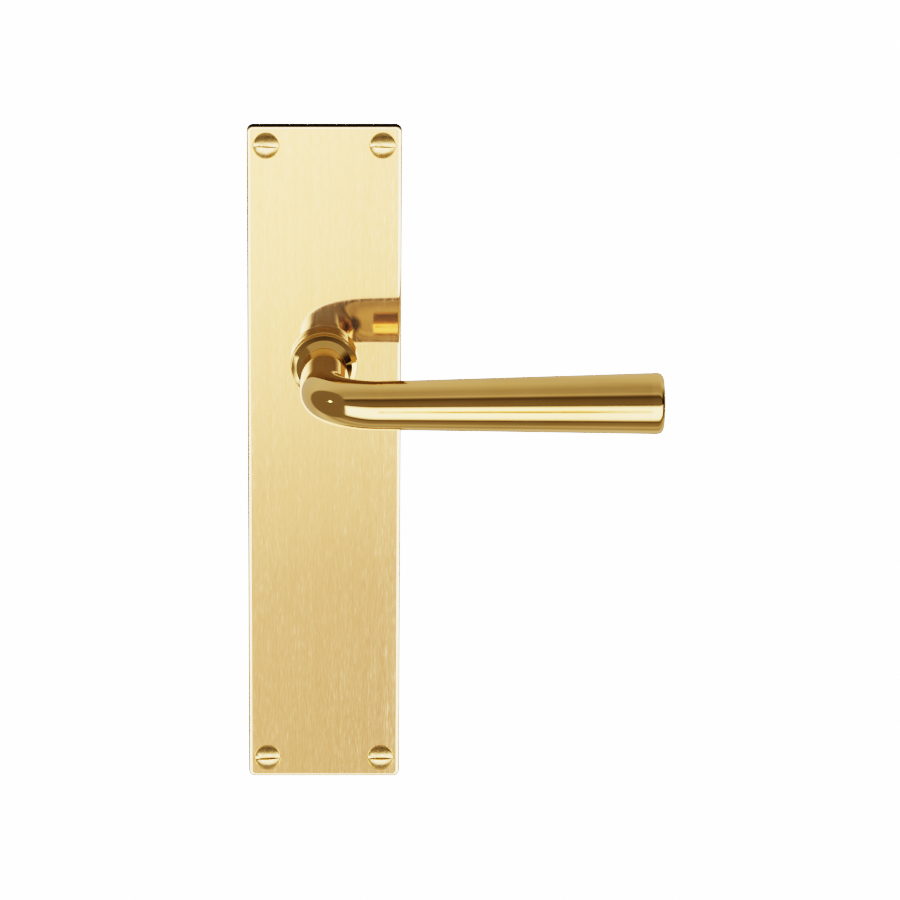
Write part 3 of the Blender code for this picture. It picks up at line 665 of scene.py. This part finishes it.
def threaded_ring(mesh_data, y, taper, rise):
    """One ring of the thread: taper narrows it at the point, rise brings the ridge in."""
    root = SCREW_SHANK_RADIUS - THREAD_RIDGE
    ring = []
    for index in range(MEDIUM):
        share = index / MEDIUM
        phase = (y / THREAD_PITCH + share) % 1.0
        ridge = THREAD_RIDGE * thread_height(phase) * rise * min(1.0, SCREW_RIDGE_FADE * taper)
        radius = min(root * taper + ridge, SCREW_SHANK_RADIUS)
        angle = 2.0 * math.pi * share
        ring.append(mesh_data.verts.new((radius * math.cos(angle), y, radius * math.sin(angle))))
    return ring


def make_plate_screw(name, centre, turn):
    """Raised countersunk head with a slot, and a threaded and pointed shank."""
    edge = SCREW_HEAD_EDGE
    outline = []
    dome_steps = 14
    for step in range(1, dome_steps + 1):
        part = step / dome_steps
        y = PLATE_FRONT - SCREW_DOME * (1.0 - part ** SCREW_DOME_POWER)
        outline.append((y, (SCREW_HEAD_RADIUS - edge) * part))
    outline += [
        (PLATE_FRONT + edge, SCREW_HEAD_RADIUS),
        (PLATE_FRONT + 2 * edge, SCREW_HEAD_RADIUS - 0.3 * edge),
        (PLATE_FRONT + SCREW_HEAD_RADIUS - SCREW_SHANK_RADIUS, SCREW_SHANK_RADIUS),
    ]
    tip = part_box(name)[1].y
    mesh_data = bmesh.new()
    rings = [circle(mesh_data, y, radius, MEDIUM) for y, radius in outline]
    thread_length = tip - SCREW_POINT_BLUNT - THREAD_START
    steps = int((tip - THREAD_START) / (THREAD_PITCH / THREAD_STEPS))
    for step in range(steps + 1):
        y = THREAD_START + thread_length * step / steps
        taper = min(1.0, (tip - y) / SCREW_POINT_LENGTH) ** SCREW_POINT_POWER
        rings.append(threaded_ring(mesh_data, y, taper, min(1.0, step / THREAD_STEPS)))
    bridge(mesh_data, rings)
    screw = add_object("brass_" + name, mesh_data, centre)
    slot_floor = PLATE_FRONT - SCREW_DOME + SCREW_SLOT_DEPTH
    half = SCREW_SLOT_WIDTH / 2
    reach = 0.006
    above = PLATE_FRONT - 0.003
    tool = block((-reach, above, -half), (reach, slot_floor, half), centre)
    tool.rotation_euler.y = math.radians(turn)
    cut_away(screw, [tool])
    place_piece(screw, SCREW_FINISH, "plate", name)


# -------- collar and its bearings


def make_collar():
    """Turned ring with a spigot through the plate and a recess for the washer."""
    recess_floor = COLLAR_FRONT + THRUST_RECESS_DEPTH
    under = PLATE_FRONT - GAP
    corners = [
        (COLLAR_HIGH.y, COLLAR_BORE_RADIUS, 0.0),
        (COLLAR_HIGH.y, COLLAR_SPIGOT_RADIUS, 0.0003),
        (under, COLLAR_SPIGOT_RADIUS, 0.0),
        (under, COLLAR_RADIUS, 0.0002),
        (COLLAR_FRONT, COLLAR_RADIUS, 0.0005),
        (COLLAR_FRONT, THRUST_RECESS_RADIUS, 0.0001),
        (recess_floor, THRUST_RECESS_RADIUS, 0.0),
        (recess_floor, COLLAR_BORE_RADIUS, 0.0),
    ]
    collar = turned("polished_collar", rounded(corners, True, 8), FINE, AXIS, True)
    even_normals(collar)
    place_piece(collar, COLLAR_FINISH, "plate", "fixed_collar")


def make_bush(name, node, low, high, inner):
    """Plain nylon ring with eased edges, as long as its CAD node."""
    outer = high.x
    ease_radius = min(0.00015, (high.y - low.y) / 4)
    corners = [
        (low.y, inner, ease_radius),
        (low.y, outer, ease_radius),
        (high.y, outer, ease_radius),
        (high.y, inner, ease_radius),
    ]
    ring = turned(name, rounded(corners, True, 3), MEDIUM, AXIS, True)
    place_piece(ring, NYLON_FINISH, "plate", node)


# -------- lever


def lever_turned_outline():
    """(y, radius) from the shank's end to the neck, with every edge eased."""
    corners = [
        (SHANK_END, SHANK_END_INNER, 0.0),
        (SHANK_END, SHANK_RADIUS, 0.0004),
        (CLIP_GROOVE_END, SHANK_RADIUS, 0.00005),
        (CLIP_GROOVE_END, CLIP_GROOVE_RADIUS, 0.00005),
        (CLIP_GROOVE_START, CLIP_GROOVE_RADIUS, 0.00005),
        (CLIP_GROOVE_START, SHANK_RADIUS, 0.00005),
        (SHOULDER_BACK, SHANK_RADIUS, 0.0001),
        (SHOULDER_BACK, SHOULDER_RADIUS, 0.0003),
        (SHOULDER_BACK - RIM_LENGTH, SHOULDER_RADIUS, 0.0003),
        (BELL_START, BELL_RADIUS, 0.0002),
        (NECK_START, NECK_RADIUS, 0.0005),
        (NECK_START - NECK_LEAD, NECK_RADIUS, 0.0),
    ]
    return rounded(corners, False, 7)


def bar_stations():
    """(centre, direction, radius) along the neck, the bend and the grip."""
    stations = []
    neck_start = NECK_START - NECK_LEAD
    bend_start = GRIP_Y + BEND_RADIUS
    outward = Vector((0.0, -1.0, 0.0))
    flare_steps = 32
    for step in range(1, flare_steps + 1):
        part = step / flare_steps
        radius = NECK_RADIUS + (ELBOW_RADIUS - NECK_RADIUS) * math.sin(math.pi / 2 * part)
        stations.append((Vector((0.0, neck_start - NECK_FLARE_LENGTH * part, 0.0)), outward, radius))
    bend_steps = 56
    for step in range(bend_steps + 1):
        angle = math.pi / 2 * step / bend_steps
        x = BEND_RADIUS * (1.0 - math.cos(angle))
        y = bend_start - BEND_RADIUS * math.sin(angle)
        direction = Vector((math.sin(angle), -math.cos(angle), 0.0))
        stations.append((Vector((x, y, 0.0)), direction, ELBOW_RADIUS))
    along = Vector((1.0, 0.0, 0.0))
    grip_end = LEVER_REACH - TIP_ROUND - TIP_DOME
    grip_steps = 40
    for step in range(1, grip_steps + 1):
        part = step / grip_steps
        x = BEND_RADIUS + (grip_end - BEND_RADIUS) * part
        radius = ELBOW_RADIUS + (TIP_RADIUS - ELBOW_RADIUS) * part
        stations.append((Vector((x, GRIP_Y, GRIP_RISE * part)), along, radius))
    tip_steps = 14
    for step in range(1, tip_steps + 1):
        angle = math.pi / 2 * step / tip_steps
        x = grip_end + TIP_ROUND * math.sin(angle)
        radius = TIP_RADIUS - TIP_ROUND * (1.0 - math.cos(angle))
        stations.append((Vector((x, GRIP_Y, GRIP_RISE)), along, radius))
    flat_start = TIP_RADIUS - TIP_ROUND
    dome_steps = 8
    for step in range(1, dome_steps + 1):
        part = step / dome_steps
        radius = flat_start * (1.0 - part) + TIP_CENTRE_RADIUS * part
        x = LEVER_REACH - TIP_DOME * (radius / flat_start) ** 2
        stations.append((Vector((x, GRIP_Y, GRIP_RISE)), along, radius))
    return stations


def make_lever():
    """Shank, shoulder, neck, bend and grip as one bar."""
    mesh_data = bmesh.new()
    rings = [circle(mesh_data, y, radius, FINE) for y, radius in lever_turned_outline()]
    for centre, direction, radius in bar_stations():
        sideways = Vector((-direction.y, direction.x, 0.0))
        ring = []
        for index in range(FINE):
            angle = 2.0 * math.pi * index / FINE
            offset = sideways * (radius * math.cos(angle))
            offset.z += radius * math.sin(angle)
            ring.append(mesh_data.verts.new(centre + offset))
        rings.append(ring)
    bridge(mesh_data, rings)
    lever = add_object("polished_lever", mesh_data, AXIS)

    half = SPINDLE_HALF + GAP
    over = 2 * CUT_OVER
    tools = [block((-half, SPINDLE_LOW.y - GAP, -half), (half, SHANK_END + over, half))]
    for sign in (1, -1):
        near = sign * SHANK_FLAT_HALF
        far = sign * (SHANK_RADIUS + over)
        low = (-THROUGH, SHANK_FLAT_START, min(near, far))
        high = (THROUGH, SHANK_END + over, max(near, far))
        tools.append(block(low, high))
    hole = cylinder(GRUB_HOLE_RADIUS, 0.0, NECK_RADIUS + over)
    hole.rotation_euler = (-math.pi / 2, 0.0, 0.0)
    hole.location = AXIS + Vector((0.0, GRUB_Y, 0.0))
    tools.append(hole)
    cut_away(lever, tools)
    place_piece(lever, LEVER_FINISH, "handle", "lever")


def make_spindle():
    """Drawn square bar with narrow edge rounds and chamfered ends."""
    sections = (
        (SPINDLE_LOW.y, SPINDLE_HALF - SPINDLE_CHAMFER),
        (SPINDLE_LOW.y + SPINDLE_CHAMFER, SPINDLE_HALF),
        (SPINDLE_HIGH.y - SPINDLE_CHAMFER, SPINDLE_HALF),
        (SPINDLE_HIGH.y, SPINDLE_HALF - SPINDLE_CHAMFER),
    )
    mesh_data = bmesh.new()
    rings = []
    for y, half in sections:
        outline = rounded_rectangle(half, half, SPINDLE_EDGE_ROUND, 4)
        rings.append(section(mesh_data, outline, y))
    bridge(mesh_data, rings)
    spindle = add_object("drawn_spindle", mesh_data, AXIS)
    even_normals(spindle)
    place_piece(spindle, SPINDLE_FINISH, "handle", "spindle")


# -------- spring cassette


def cassette_outline():
    """(x, z) outline of a disc with a round ear above and one below."""
    squares = CASSETTE_RADIUS ** 2 + EAR_OFFSET ** 2 - EAR_RADIUS ** 2
    corner_cosine = squares / (2.0 * CASSETTE_RADIUS * EAR_OFFSET)
    corner = math.degrees(math.acos(corner_cosine))
    reach = EAR_OFFSET - CASSETTE_RADIUS * corner_cosine
    ear_half = 180.0 - math.degrees(math.acos(reach / EAR_RADIUS))
    outline = []
    for middle in (90.0, 270.0):
        centre = (0.0, EAR_OFFSET * math.sin(math.radians(middle)))
        outline += arc(centre, EAR_RADIUS, middle - ear_half, middle + ear_half, 30)
        side = arc((0.0, 0.0), CASSETTE_RADIUS, middle + corner, middle + 180.0 - corner, 56)
        outline += side[1:-1]
    return outline


def ear_places():
    """Centres of the upper and lower cassette screws."""
    return [AXIS + Vector((0.0, 0.0, sign * EAR_OFFSET)) for sign in (1, -1)]


def stop_pin_places():
    """CAD name and centre of each stop pin."""
    clear = CAM_TAB_HALF_WIDTH + STOP_PIN_RADIUS + GAP
    angle = math.degrees(math.asin(clear / STOP_PIN_OFFSET))
    rest = on_circle(STOP_PIN_OFFSET, CAM_TAB_ANGLE - angle)
    end = on_circle(STOP_PIN_OFFSET, CAM_TAB_ANGLE + LEVER_TRAVEL + angle)
    places = []
    for name, (x, z) in (("stop_pin_rest", rest), ("stop_pin_end", end)):
        places.append((name, AXIS + Vector((x, 0.0, z))))
    return places


def make_housing():
    """Pressed cup with a bore for the collar and a hole for the spring's fixed leg."""
    housing = prism("zinc_housing", cassette_outline(), HOUSING_LOW.y, HOUSING_HIGH.y)
    floor = HOUSING_LOW.y + HOUSING_WALL
    past_wall = 0.025
    tools = [
        cylinder(CASSETTE_RADIUS - HOUSING_WALL, floor, 2 * THROUGH, MEDIUM),
        cylinder(PLATE_BORE_RADIUS, -THROUGH, THROUGH, MEDIUM),
    ]
    for centre in ear_places():
        tools.append(cylinder(CASSETTE_HOLE_RADIUS, -THROUGH, 2 * THROUGH, SMALL, centre))
    leg_hole = cylinder(WIRE_RADIUS + GAP, COIL_RADIUS, past_wall, DRILLED)
    leg_hole.rotation_mode = "ZYX"
    leg_hole.rotation_euler = (0.0, math.radians(FIXED_LEG_ANGLE), -math.pi / 2)
    leg_hole.location.y = COIL_START_Y
    tools.append(leg_hole)
    cut_away(housing, tools)
    soften_edges(housing, HOUSING_EDGE)
    place_piece(housing, ZINC_FINISH, "plate", "spring_housing")


def make_cover():
    """Cover plate with its opening, screw holes and stop pin holes."""
    cover = prism("zinc_cover", cassette_outline(), COVER_LOW.y, COVER_HIGH.y)
    far = 2 * THROUGH
    tools = [cylinder(COVER_OPENING_RADIUS, 0.0, far, MEDIUM)]
    tools += [cylinder(CASSETTE_HOLE_RADIUS, 0.0, far, SMALL, centre) for centre in ear_places()]
    for _, centre in stop_pin_places():
        tools.append(cylinder(STOP_PIN_RADIUS + GAP, 0.0, far, SMALLEST, centre))
    cut_away(cover, tools)
    soften_edges(cover, COVER_EDGE)
    place_piece(cover, ZINC_FINISH, "plate", "housing_cover")


def make_stop_pins():
    for name, centre in stop_pin_places():
        low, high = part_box(name)
        edge = 0.0002
        corners = [
            (low.y, 0.0, 0.0),
            (low.y, STOP_PIN_RADIUS, edge),
            (high.y, STOP_PIN_RADIUS, edge),
            (high.y, 0.0, 0.0),
        ]
        outline = rounded(corners, False, 4)[1:-1]
        pin = turned("ground_" + name, outline, SMALLEST, centre)
        place_piece(pin, PIN_FINISH, "plate", name)


def make_cassette_screws():
    for name, centre in zip(("cassette_screw_upper", "cassette_screw_lower"), ear_places()):
        low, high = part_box(name)
        head_front = high.y - CASSETTE_HEAD_HEIGHT
        corners = [
            (low.y, 0.0, 0.0),
            (low.y, CASSETTE_SCREW_RADIUS, 0.0003),
            (head_front, CASSETTE_SCREW_RADIUS, 0.0),
            (head_front, CASSETTE_HEAD_RADIUS, 0.0001),
            (high.y, CASSETTE_HEAD_RADIUS, 0.0004),
            (high.y, 0.0, 0.0),
        ]
        screw = turned("zinc_" + name, rounded(corners, False, 5)[1:-1], SMALL, centre)
        reach = 0.004
        half = CASSETTE_SLOT_HALF
        slot_floor = high.y - CASSETTE_SLOT_DEPTH
        tool = block((-reach, slot_floor, -half), (reach, high.y + CUT_OVER, half), centre)
        tool.rotation_euler.y = math.radians(CASSETTE_SLOT_TURN)
        cut_away(screw, [tool])
        place_piece(screw, ZINC_FINISH, "plate", name)


def make_lock_nut():
    """Ring nut with one slot right across for a key."""
    corners = [
        (NUT_LOW.y, PLATE_BORE_RADIUS, 0.0002),
        (NUT_LOW.y, NUT_HIGH.x, 0.0002),
        (NUT_HIGH.y, NUT_HIGH.x, 0.0003),
        (NUT_HIGH.y, PLATE_BORE_RADIUS, 0.0002),
    ]
    nut = turned("brass_lock_nut", rounded(corners, True, 4), MEDIUM, AXIS, True)
    reach = 0.02
    half = NUT_SLOT_HALF
    slot_floor = NUT_HIGH.y - NUT_SLOT_DEPTH
    cut_away(nut, [block((-reach, slot_floor, -half), (reach, NUT_HIGH.y + CUT_OVER, half))])
    place_piece(nut, NUT_FINISH, "plate", "collar_lock_nut")


def make_cam():
    """Disc with its tab, hub and double-D hole."""
    half = CAM_TAB_HALF_WIDTH
    root = math.degrees(math.asin(half / CAM_RADIUS))
    outline = arc((0.0, 0.0), CAM_RADIUS, root, 360.0 - root, 110)
    outline += [(CAM_TAB_OUTER, -half), (CAM_TAB_OUTER, half)]
    cam = prism("zinc_cam", outline, CAM_FRONT, CAM_HIGH.y)
    cam.rotation_euler.y = math.radians(CAM_TAB_ANGLE)
    middle = (CAM_FRONT + CAM_HIGH.y) / 2
    hub = cylinder(CAM_HUB_RADIUS, CAM_LOW.y, middle, MEDIUM)
    fold_half = half - CAM_FOLD_INSET
    fold_low = (CAM_TAB_INNER, CAM_FOLD_FRONT, -fold_half)
    fold = block(fold_low, (CAM_TAB_OUTER - CAM_FOLD_INSET, middle, fold_half))
    fold.rotation_euler.y = math.radians(CAM_TAB_ANGLE)
    combine(cam, [hub, fold], "UNION")
    flat = SHANK_FLAT_HALF + GAP
    bore = SHANK_RADIUS + GAP
    corner = math.degrees(math.asin(flat / bore))
    hole = arc((0.0, 0.0), bore, -corner, corner, 24)
    hole += arc((0.0, 0.0), bore, 180.0 - corner, 180.0 + corner, 24)
    cut_away(cam, [prism("tool", hole, 0.0, 2 * THROUGH)])
    soften_edges(cam, CAM_EDGE, 2)
    place_piece(cam, CAM_FINISH, "handle", "drive_cam")


def make_circlip():
    """Open ring, thickest opposite its gap, with a drilled lug at each end."""
    inner = CLIP_GROOVE_RADIUS + GAP
    gap_angle = 90.0
    half_gap = CLIP_HALF_GAP
    lug_span = CLIP_LUG_SPAN
    span = 360.0 - 2.0 * half_gap
    inner_steps = 72
    outer_steps = 48
    outline = []
    for step in range(inner_steps + 1):
        outline.append(on_circle(inner, gap_angle + half_gap + span * step / inner_steps))
    for angle in (360.0 - half_gap, 360.0 - half_gap - lug_span):
        outline.append(on_circle(CLIP_LUG_RADIUS, gap_angle + angle))
    outer_span = span - 2.0 * lug_span
    for step in range(outer_steps, -1, -1):
        angle = half_gap + lug_span + outer_span * step / outer_steps
        bulge = 0.5 - 0.5 * math.cos(math.radians(angle))
        outline.append(on_circle(CLIP_THIN_RADIUS + CLIP_BULGE * bulge, gap_angle + angle))
    for angle in (half_gap + lug_span, half_gap):
        outline.append(on_circle(CLIP_LUG_RADIUS, gap_angle + angle))
    clip = prism("black_circlip", outline, CLIP_LOW.y, CLIP_HIGH.y)
    tools = []
    for sign in (-1, 1):
        x, z = on_circle(CLIP_HOLE_OFFSET, gap_angle + sign * (half_gap + lug_span / 2))
        centre = AXIS + Vector((x, 0.0, z))
        tools.append(cylinder(CLIP_HOLE_RADIUS, 0.0, 2 * THROUGH, DRILLED, centre))
    cut_away(clip, tools)
    soften_edges(clip, CLIP_EDGE, 2)
    place_piece(clip, BLACK_FINISH, "handle", "shank_circlip")


def leg_points(angle, end_radius, y, side):
    """Radial leg and its bend into the coil, from the leg's free end inwards."""
    bend_offset = COIL_RADIUS + COIL_LEG_BEND
    lean = math.asin(COIL_LEG_BEND / bend_offset)
    bend_centre = bend_offset * math.cos(lean)
    flat = [(end_radius, 0.0), (bend_centre, 0.0)]
    steps = 10
    for step in range(1, steps + 1):
        turn = (math.pi / 2 - lean) * step / steps
        along = bend_centre - COIL_LEG_BEND * math.sin(turn)
        flat.append((along, COIL_LEG_BEND * (1.0 - math.cos(turn))))
    points = []
    for along, across in flat:
        offset = math.degrees(math.atan2(across, along))
        x, z = on_circle(math.hypot(along, across), angle + side * offset)
        points.append(Vector((x, y, z)))
    return points, math.degrees(lean)


def make_spring():
    """Torsion spring that winds up between the plate and the handle."""
    clear = CAM_TAB_HALF_WIDTH + WIRE_RADIUS + GAP
    moving_angle = CAM_TAB_ANGLE + math.degrees(math.asin(clear / CAM_TAB_INNER))
    full_turn = moving_angle - FIXED_LEG_ANGLE + 360.0 * COIL_EXTRA_TURNS
    end_y = COIL_START_Y + COIL_PITCH * full_turn / 360.0
    first_leg, lean = leg_points(FIXED_LEG_ANGLE, FIXED_LEG_END, COIL_START_Y, 1)
    last_leg, _ = leg_points(moving_angle, MOVING_LEG_END, end_y, -1)
    coil = []
    coil_steps = 180
    for step in range(1, coil_steps):
        part = step / coil_steps
        x, z = on_circle(COIL_RADIUS, FIXED_LEG_ANGLE + lean + (full_turn - 2.0 * lean) * part)
        coil.append(Vector((x, COIL_START_Y + (end_y - COIL_START_Y) * part, z)))
    path = first_leg + coil + last_leg[::-1]
    mesh_data = bmesh.new()
    wire_segments = 20
    rings = []
    for index, point in enumerate(path):
        ahead = path[min(index + 1, len(path) - 1)] - path[max(index - 1, 0)]
        normal = Vector((0.0, 1.0, 0.0)).cross(ahead).normalized()
        binormal = ahead.normalized().cross(normal)
        ring = []
        for corner in range(wire_segments):
            angle = 2.0 * math.pi * corner / wire_segments
            offset = normal * math.cos(angle) + binormal * math.sin(angle)
            ring.append(mesh_data.verts.new(AXIS + point + offset * WIRE_RADIUS))
        rings.append(ring)
    bridge(mesh_data, rings)
    spring = add_object("wound_spring", mesh_data)
    spring.data.materials.append(SPRING_FINISH)
    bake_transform(spring)
    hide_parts("return_spring")


def finish_carried_nodes():
    """Better materials on the CAD nodes that stay."""
    for name, material in (("grub_screw", BLACK_FINISH), ("wave_washer", PIN_FINISH)):
        node = frame["nodes"][name]
        node.data.materials.clear()
        node.data.materials.append(material)


# -------- light and camera

CAMERA_DISTANCE = 1.50  # from the point looked at
CAMERA_ELEVATION = 15.3  # degrees above level
CAMERA_X = -0.003
LOOK_AT = Vector((CAMERA_X, -0.030, 0.0097))
CAMERA_LENS = 187.7
SENSOR_WIDTH = 36.0
CAMERA_SHIFT_X = 0.15  # the plate stands left of the frame's middle


def make_camera():
    data = bpy.data.cameras.new("camera")
    data.lens = CAMERA_LENS
    data.sensor_width = SENSOR_WIDTH
    data.shift_x = CAMERA_SHIFT_X
    camera = bpy.data.objects.new("camera", data)
    bpy.context.scene.collection.objects.link(camera)
    lift = math.radians(CAMERA_ELEVATION)
    back = Vector((0.0, -math.cos(lift), math.sin(lift)))
    camera.location = LOOK_AT + back * CAMERA_DISTANCE
    camera.rotation_euler = (math.pi / 2 - lift, 0.0, 0.0)
    bpy.context.scene.camera = camera


# Brightness reflected from each angle about the X axis: 0 is level in front of the door,
# +90 is straight up, -90 straight down and 180 behind.
ROOM_TINT = (1.0, 0.92, 0.80)
ROOM_PEAK = 3.4
ROOM_BANDS = (
    (-180, 0.55), (-137, 0.50), (-122, 0.66),
    (-112, 0.62), (-103, 0.36), (-95, 0.38),
    (-89, 0.55), (-83, 0.36), (-76, 0.26),
    (-65, 0.22), (-61, 0.13), (-57, 0.16),
    (-52, 1.00), (-46, 2.60), (-36, 3.10),
    (-8, 3.20), (0, 2.60), (5, 0.60),
    (8, 0.15), (14, 0.20), (30, 0.16),
    (40, 0.09), (46, 0.25), (51, 0.52),
    (58, 0.38), (76, 0.36), (92, 0.46),
    (110, 0.58), (140, 0.62), (180, 0.55),
)

# Left of the door: a dark oval umbrella with a small lamp in it.
UMBRELLA_CENTRE = (-0.09, -0.05)  # of its oval, as (y, z) of a direction
UMBRELLA_HALF = (0.56, 0.72)
UMBRELLA_EDGE = ((0.90, 1.0), (1.08, 0.0))  # share of it by squared reach in the oval
UMBRELLA_X = ((0.30, 0.0), (0.34, 1.0))  # share of it by how far left a direction is
UMBRELLA_LEVEL = 0.20
LAMP_DIRECTION = (-0.96, -0.23, 0.13)
LAMP_EDGE = ((1.4, 1.0), (2.4, 0.0))  # share of it by degrees from its middle
LAMP_LEVEL = 16.0

# Right of the door, round the +X axis: a dark curtain.
CURTAIN_X = ((0.80, 1.0), (0.96, 0.12))

# A small dim patch below level, in front: the flat plate's view of the room. Its bands are
# (angle, share of the room's brightness), and its tint bands (angle, share of the tint).
PATCH_TINT = (1.0, 0.63, 0.30)
PATCH_BANDS = (
    (-23.0, 1.00), (-21.0, 0.24), (-18.5, 0.24),
    (-17.0, 0.27), (-15.5, 0.40), (-13.3, 0.72),
    (-11.5, 0.84), (-9.5, 1.00),
)
PATCH_TINT_BANDS = ((-23.0, 0.0), (-21.0, 1.0), (-11.0, 0.85), (-9.5, 0.0))
PATCH_HALF = 0.021  # across, as x of a direction
PATCH_EDGE = 0.012
PATCH_SLOPE = ((-PATCH_HALF, 1.06), (0.0, 1.0), (PATCH_HALF, 0.86))
PATCH_SLOPE_PEAK = 1.1
CAMERA_WHITE = 10.0  # the plain background, as the camera sees it


def ramp_over(nodes, value, low, high, bands, peak=1.0):
    """Level along a value from low to high, as a number times peak."""
    span = high - low
    stops = [((place - low) / span, level / peak) for place, level in bands]
    share = nodes.add("ShaderNodeMapRange", {"Value": value, "From Min": low, "From Max": high})
    colour = nodes.ramp(share.outputs["Result"], stops)
    grey = nodes.add("ShaderNodeSeparateColor", {"Color": colour}).outputs["Red"]
    return nodes.math("MULTIPLY", grey, peak)


def mix_values(nodes, factor, first, second):
    """Number between two sockets or fixed numbers."""
    inputs = {0: factor, 2: first, 3: second}
    return nodes.add("ShaderNodeMix", inputs).outputs[0]


def angle_from(nodes, direction, pole):
    """Degrees between a direction and a fixed pole."""
    pole = tuple(Vector(pole).normalized())
    dot = nodes.add("ShaderNodeVectorMath", {0: direction, 1: pole}, operation="DOT_PRODUCT")
    return nodes.math("DEGREES", nodes.math("ARCCOSINE", dot.outputs["Value"]))


def make_world():
    """White to the camera; to the metal, a soft room with dark bands."""
    world = bpy.data.worlds.new("studio")
    bpy.context.scene.world = world
    world.use_nodes = True
    world.node_tree.nodes.clear()
    nodes = Nodes(world.node_tree)
    direction = nodes.add("ShaderNodeTexCoord").outputs["Generated"]
    split = nodes.add("ShaderNodeSeparateXYZ", {"Vector": direction})
    x, y, z = (split.outputs[axis] for axis in "XYZ")
    front = nodes.math("MULTIPLY", y, -1.0)
    angle = nodes.math("DEGREES", nodes.math("ARCTAN2", z, front))
    level = ramp_over(nodes, angle, -180.0, 180.0, ROOM_BANDS, ROOM_PEAK)

    reach = []
    for part, centre, half in zip((y, z), UMBRELLA_CENTRE, UMBRELLA_HALF):
        offset = nodes.math("SUBTRACT", part, centre)
        reach.append(nodes.math("POWER", nodes.math("DIVIDE", offset, half), 2.0))
    umbrella = ramp_over(nodes, nodes.math("ADD", *reach), 0.0, 4.0, UMBRELLA_EDGE)
    on_left = ramp_over(nodes, nodes.math("MULTIPLY", x, -1.0), 0.0, 1.0, UMBRELLA_X)
    umbrella = nodes.math("MULTIPLY", umbrella, on_left)
    level = mix_values(nodes, umbrella, level, UMBRELLA_LEVEL)
    lamp_angle = angle_from(nodes, direction, LAMP_DIRECTION)
    lamp = ramp_over(nodes, lamp_angle, 0.0, 90.0, LAMP_EDGE)
    level = nodes.math("ADD", level, nodes.math("MULTIPLY", lamp, LAMP_LEVEL))
    curtain = ramp_over(nodes, x, 0.0, 1.0, CURTAIN_X)
    level = nodes.math("MULTIPLY", level, curtain)

    low, high = PATCH_BANDS[0][0], PATCH_BANDS[-1][0]
    patch = ramp_over(nodes, angle, low, high, PATCH_BANDS)
    slope = ramp_over(nodes, x, -PATCH_HALF, PATCH_HALF, PATCH_SLOPE, PATCH_SLOPE_PEAK)
    patch = nodes.math("MULTIPLY", patch, slope)
    across = nodes.math("ABSOLUTE", x)
    limit = PATCH_HALF + PATCH_EDGE
    outside = ramp_over(nodes, across, 0.0, limit, ((PATCH_HALF, 0.0), (limit, 1.0)))
    kept = mix_values(nodes, outside, patch, 1.0)
    level = nodes.math("MULTIPLY", level, kept)
    inside = ramp_over(nodes, angle, low, high, PATCH_TINT_BANDS)
    tinted = mix_values(nodes, outside, inside, 0.0)
    tint = mix_colours(nodes, tinted, ROOM_TINT, PATCH_TINT)

    camera_ray = nodes.add("ShaderNodeLightPath").outputs["Is Camera Ray"]
    colour = mix_colours(nodes, camera_ray, tint, (1.0, 1.0, 1.0))
    strength = mix_values(nodes, camera_ray, level, CAMERA_WHITE)
    inputs = {"Color": colour, "Strength": strength}
    background = nodes.add("ShaderNodeBackground", inputs)
    nodes.add("ShaderNodeOutputWorld", {"Surface": background.outputs["Background"]})


def make_floor():
    """Pale plain floor well below the plate."""
    material, nodes, shader, place = new_material("pale_floor")
    grain = nodes.noise(place, 60.0, 4.0)
    colour = nodes.ramp(grain, [(0.35, (0.83, 0.83, 0.82)), (0.65, (0.86, 0.86, 0.85))])
    rough = nodes.ramp(grain, [(0.35, 0.55), (0.65, 0.70)])
    set_shader(nodes, shader, colour, rough, 0.0)
    mesh_data = bmesh.new()
    outline = rounded_rectangle(FLOOR_HALF, FLOOR_HALF, FLOOR_CORNER, 12)
    mesh_data.faces.new([mesh_data.verts.new((a, b, 0.0)) for a, b in outline])
    floor = add_object("floor", mesh_data, (0.0, 0.0, PLATE_LOW.z - FLOOR_DROP))
    floor.data.materials.append(material)
    floor.visible_glossy = False


def set_tone():
    view = bpy.context.scene.view_settings
    view.view_transform = "Filmic"
    view.look = "Very High Contrast"


make_backplate()
for (screw_name, screw_centre), screw_turn in zip(screw_places(), SCREW_TURNS):
    make_plate_screw(screw_name, screw_centre, screw_turn)
make_collar()
make_bush("nylon_sleeve", "bearing_sleeve", SLEEVE_LOW, SLEEVE_HIGH, SLEEVE_BORE_RADIUS)
make_bush("nylon_washer", "thrust_washer", WASHER_LOW, WASHER_HIGH, WASHER_BORE_RADIUS)
make_lock_nut()
make_lever()
make_spindle()
make_housing()
make_cover()
make_stop_pins()
make_cassette_screws()
make_cam()
make_circlip()
make_spring()
finish_carried_nodes()
make_floor()
make_world()
make_camera()
set_tone()
